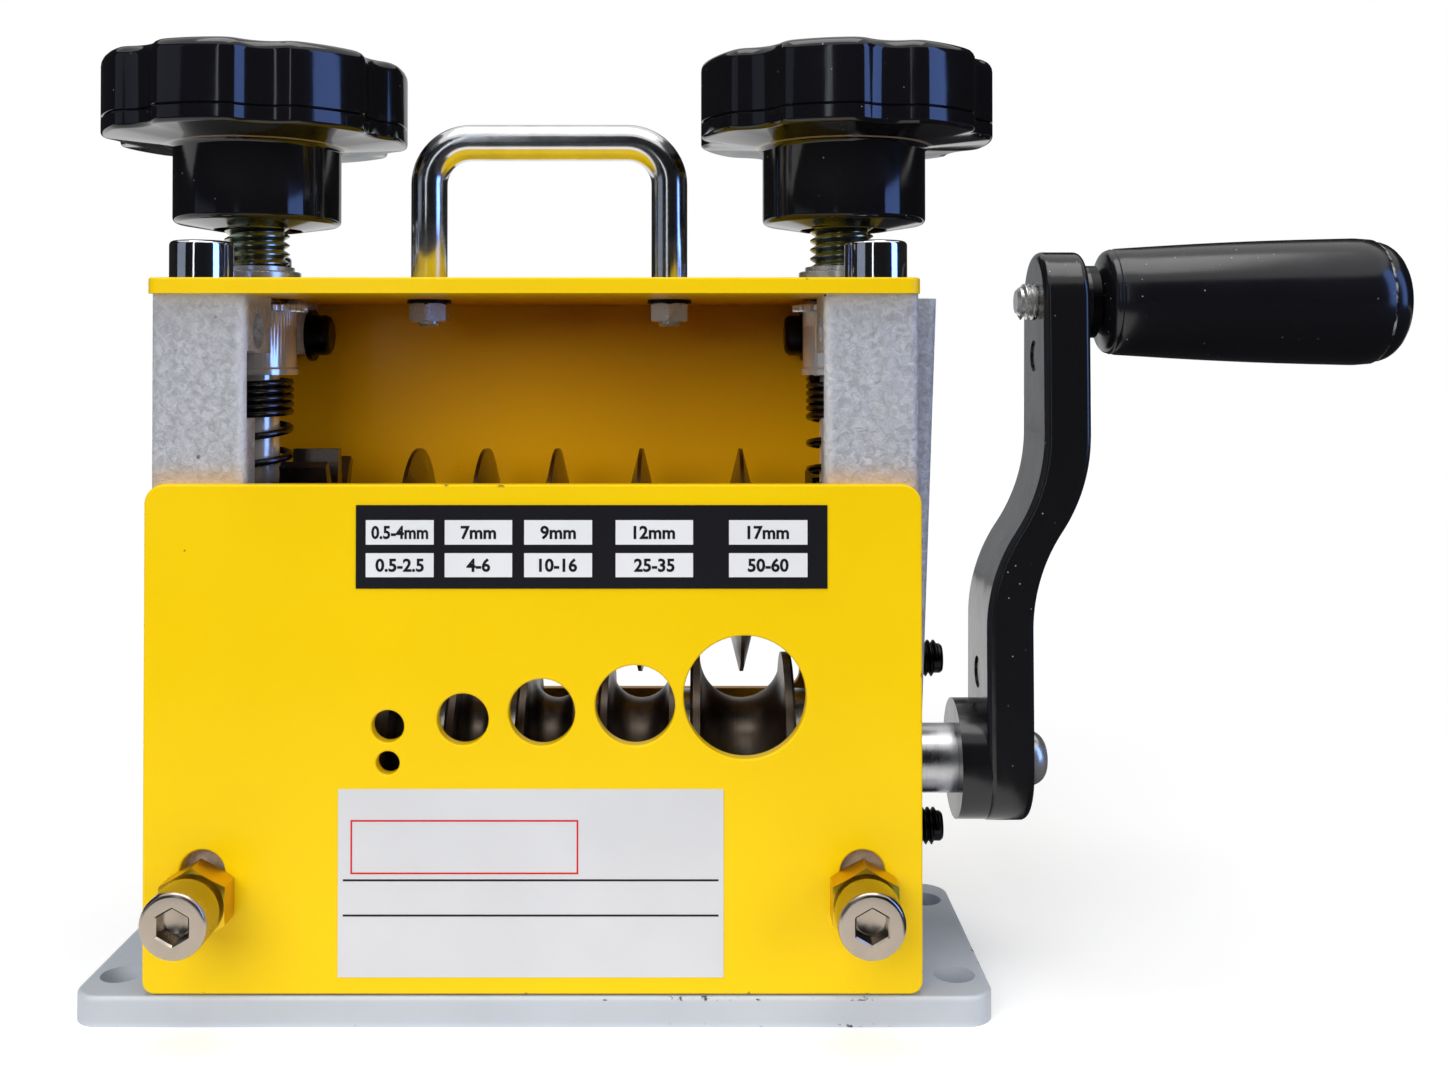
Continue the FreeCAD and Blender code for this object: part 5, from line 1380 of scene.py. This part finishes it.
    def window(self, name, azimuth, distance, width, foot, top, tint, strength):
        """A tall glowing card at an azimuth round the machine, seen only in gloss."""
        made, _, shader = new_finish(name + "_glow", (0, 0, 0), 0.0, 1.0)
        shader.inputs["Specular IOR Level"].default_value = 0
        shader.inputs["Emission Color"].default_value = (*tint, 1)
        shader.inputs["Emission Strength"].default_value = strength
        bm = bmesh.new()
        bmesh.ops.create_grid(bm, x_segments=1, y_segments=1, size=0.5)
        bmesh.ops.scale(bm, verts=bm.verts, vec=(width, top - foot, 1))
        bmesh.ops.rotate(bm, verts=bm.verts, matrix=Matrix.Rotation(math.pi / 2, 3, "X"))
        bmesh.ops.translate(bm, verts=bm.verts, vec=(0, distance, (foot + top) / 2))
        bmesh.ops.rotate(bm, verts=bm.verts,
                         matrix=Matrix.Rotation(math.radians(azimuth - 90), 3, "Z"))
        self.prop(name, bm, made, gloss_only=True)

    def lamp(self, context, name, place, size, power, in_gloss=True):
        light = bpy.data.lights.new(name, "AREA")
        light.shape = "RECTANGLE"
        light.size, light.size_y = size
        light.energy = power
        holder = bpy.data.objects.new(name, light)
        holder.visible_glossy = in_gloss
        holder.location = place
        towards = self.target - Vector(place)
        holder.rotation_euler = towards.to_track_quat("-Z", "Y").to_euler()
        context.scene.collection.objects.link(holder)

    def world(self, context):
        stage = context.scene.stripper_stage
        world = bpy.data.worlds.new("studio")
        context.scene.world = world
        world.use_nodes = True
        tree = world.node_tree
        back = tree.nodes["Background"]
        back.inputs["Color"].default_value = (1, 1, 1, 1)
        seen = self.sight(tree)
        rest = math_node(tree, "MULTIPLY", math_node(tree, "SUBTRACT", 1.0, seen),
                         stage.ambient)
        tree.links.new(math_node(tree, "ADD", seen, rest), back.inputs["Strength"])

    def camera(self, context):
        stage = context.scene.stripper_stage
        data = bpy.data.cameras.new("camera")
        data.lens = stage.lens
        data.sensor_width = 36
        data.shift_x, data.shift_y = stage.shift
        data.clip_start = 0.01
        holder = bpy.data.objects.new("camera", data)
        holder.location = stage.eye
        holder.rotation_euler = (math.pi / 2 - stage.pitch, 0, 0)
        context.scene.collection.objects.link(holder)
        context.scene.camera = holder


# ---------------------------------------------------------------- panel and registration

PIECES = (STRIPPER_OT_base, STRIPPER_OT_columns, STRIPPER_OT_sheets, STRIPPER_OT_chart,
          STRIPPER_OT_screws, STRIPPER_OT_handle, STRIPPER_OT_knobs,
          STRIPPER_OT_pressure_screws, STRIPPER_OT_sleeves, STRIPPER_OT_springs,
          STRIPPER_OT_cutters, STRIPPER_OT_crank, STRIPPER_OT_grip, STRIPPER_OT_stage)
GROUPS = {"stripper_finishes": STRIPPER_PG_finishes, "stripper_sizes": STRIPPER_PG_sizes,
          "stripper_chart": STRIPPER_PG_chart, "stripper_stage": STRIPPER_PG_stage}


class STRIPPER_PT_panel(Panel):
    """List the steps that finish the wire stripper"""
    bl_idname = "STRIPPER_PT_panel"
    bl_label = "Wire Stripper"
    bl_space_type = "VIEW_3D"
    bl_region_type = "UI"
    bl_category = "Wire Stripper"

    def draw(self, context):
        for group in GROUPS:
            box = self.layout.box()
            held = getattr(context.scene, group)
            for name in held.bl_rna.properties.keys():
                if name not in ("rna_type", "name"):
                    box.prop(held, name)
        for piece in PIECES:
            self.layout.operator(piece.bl_idname)


def register():
    for made in (*GROUPS.values(), *PIECES, STRIPPER_PT_panel):
        bpy.utils.register_class(made)
    for name, group in GROUPS.items():
        setattr(bpy.types.Scene, name, PointerProperty(type=group))


def unregister():
    for name in GROUPS:
        delattr(bpy.types.Scene, name)
    for made in reversed((*GROUPS.values(), *PIECES, STRIPPER_PT_panel)):
        bpy.utils.unregister_class(made)


def main():
    register()
    for piece in PIECES:
        family, name = piece.bl_idname.split(".")
        getattr(getattr(bpy.ops, family), name)()


if __name__ == "__main__":
    main()
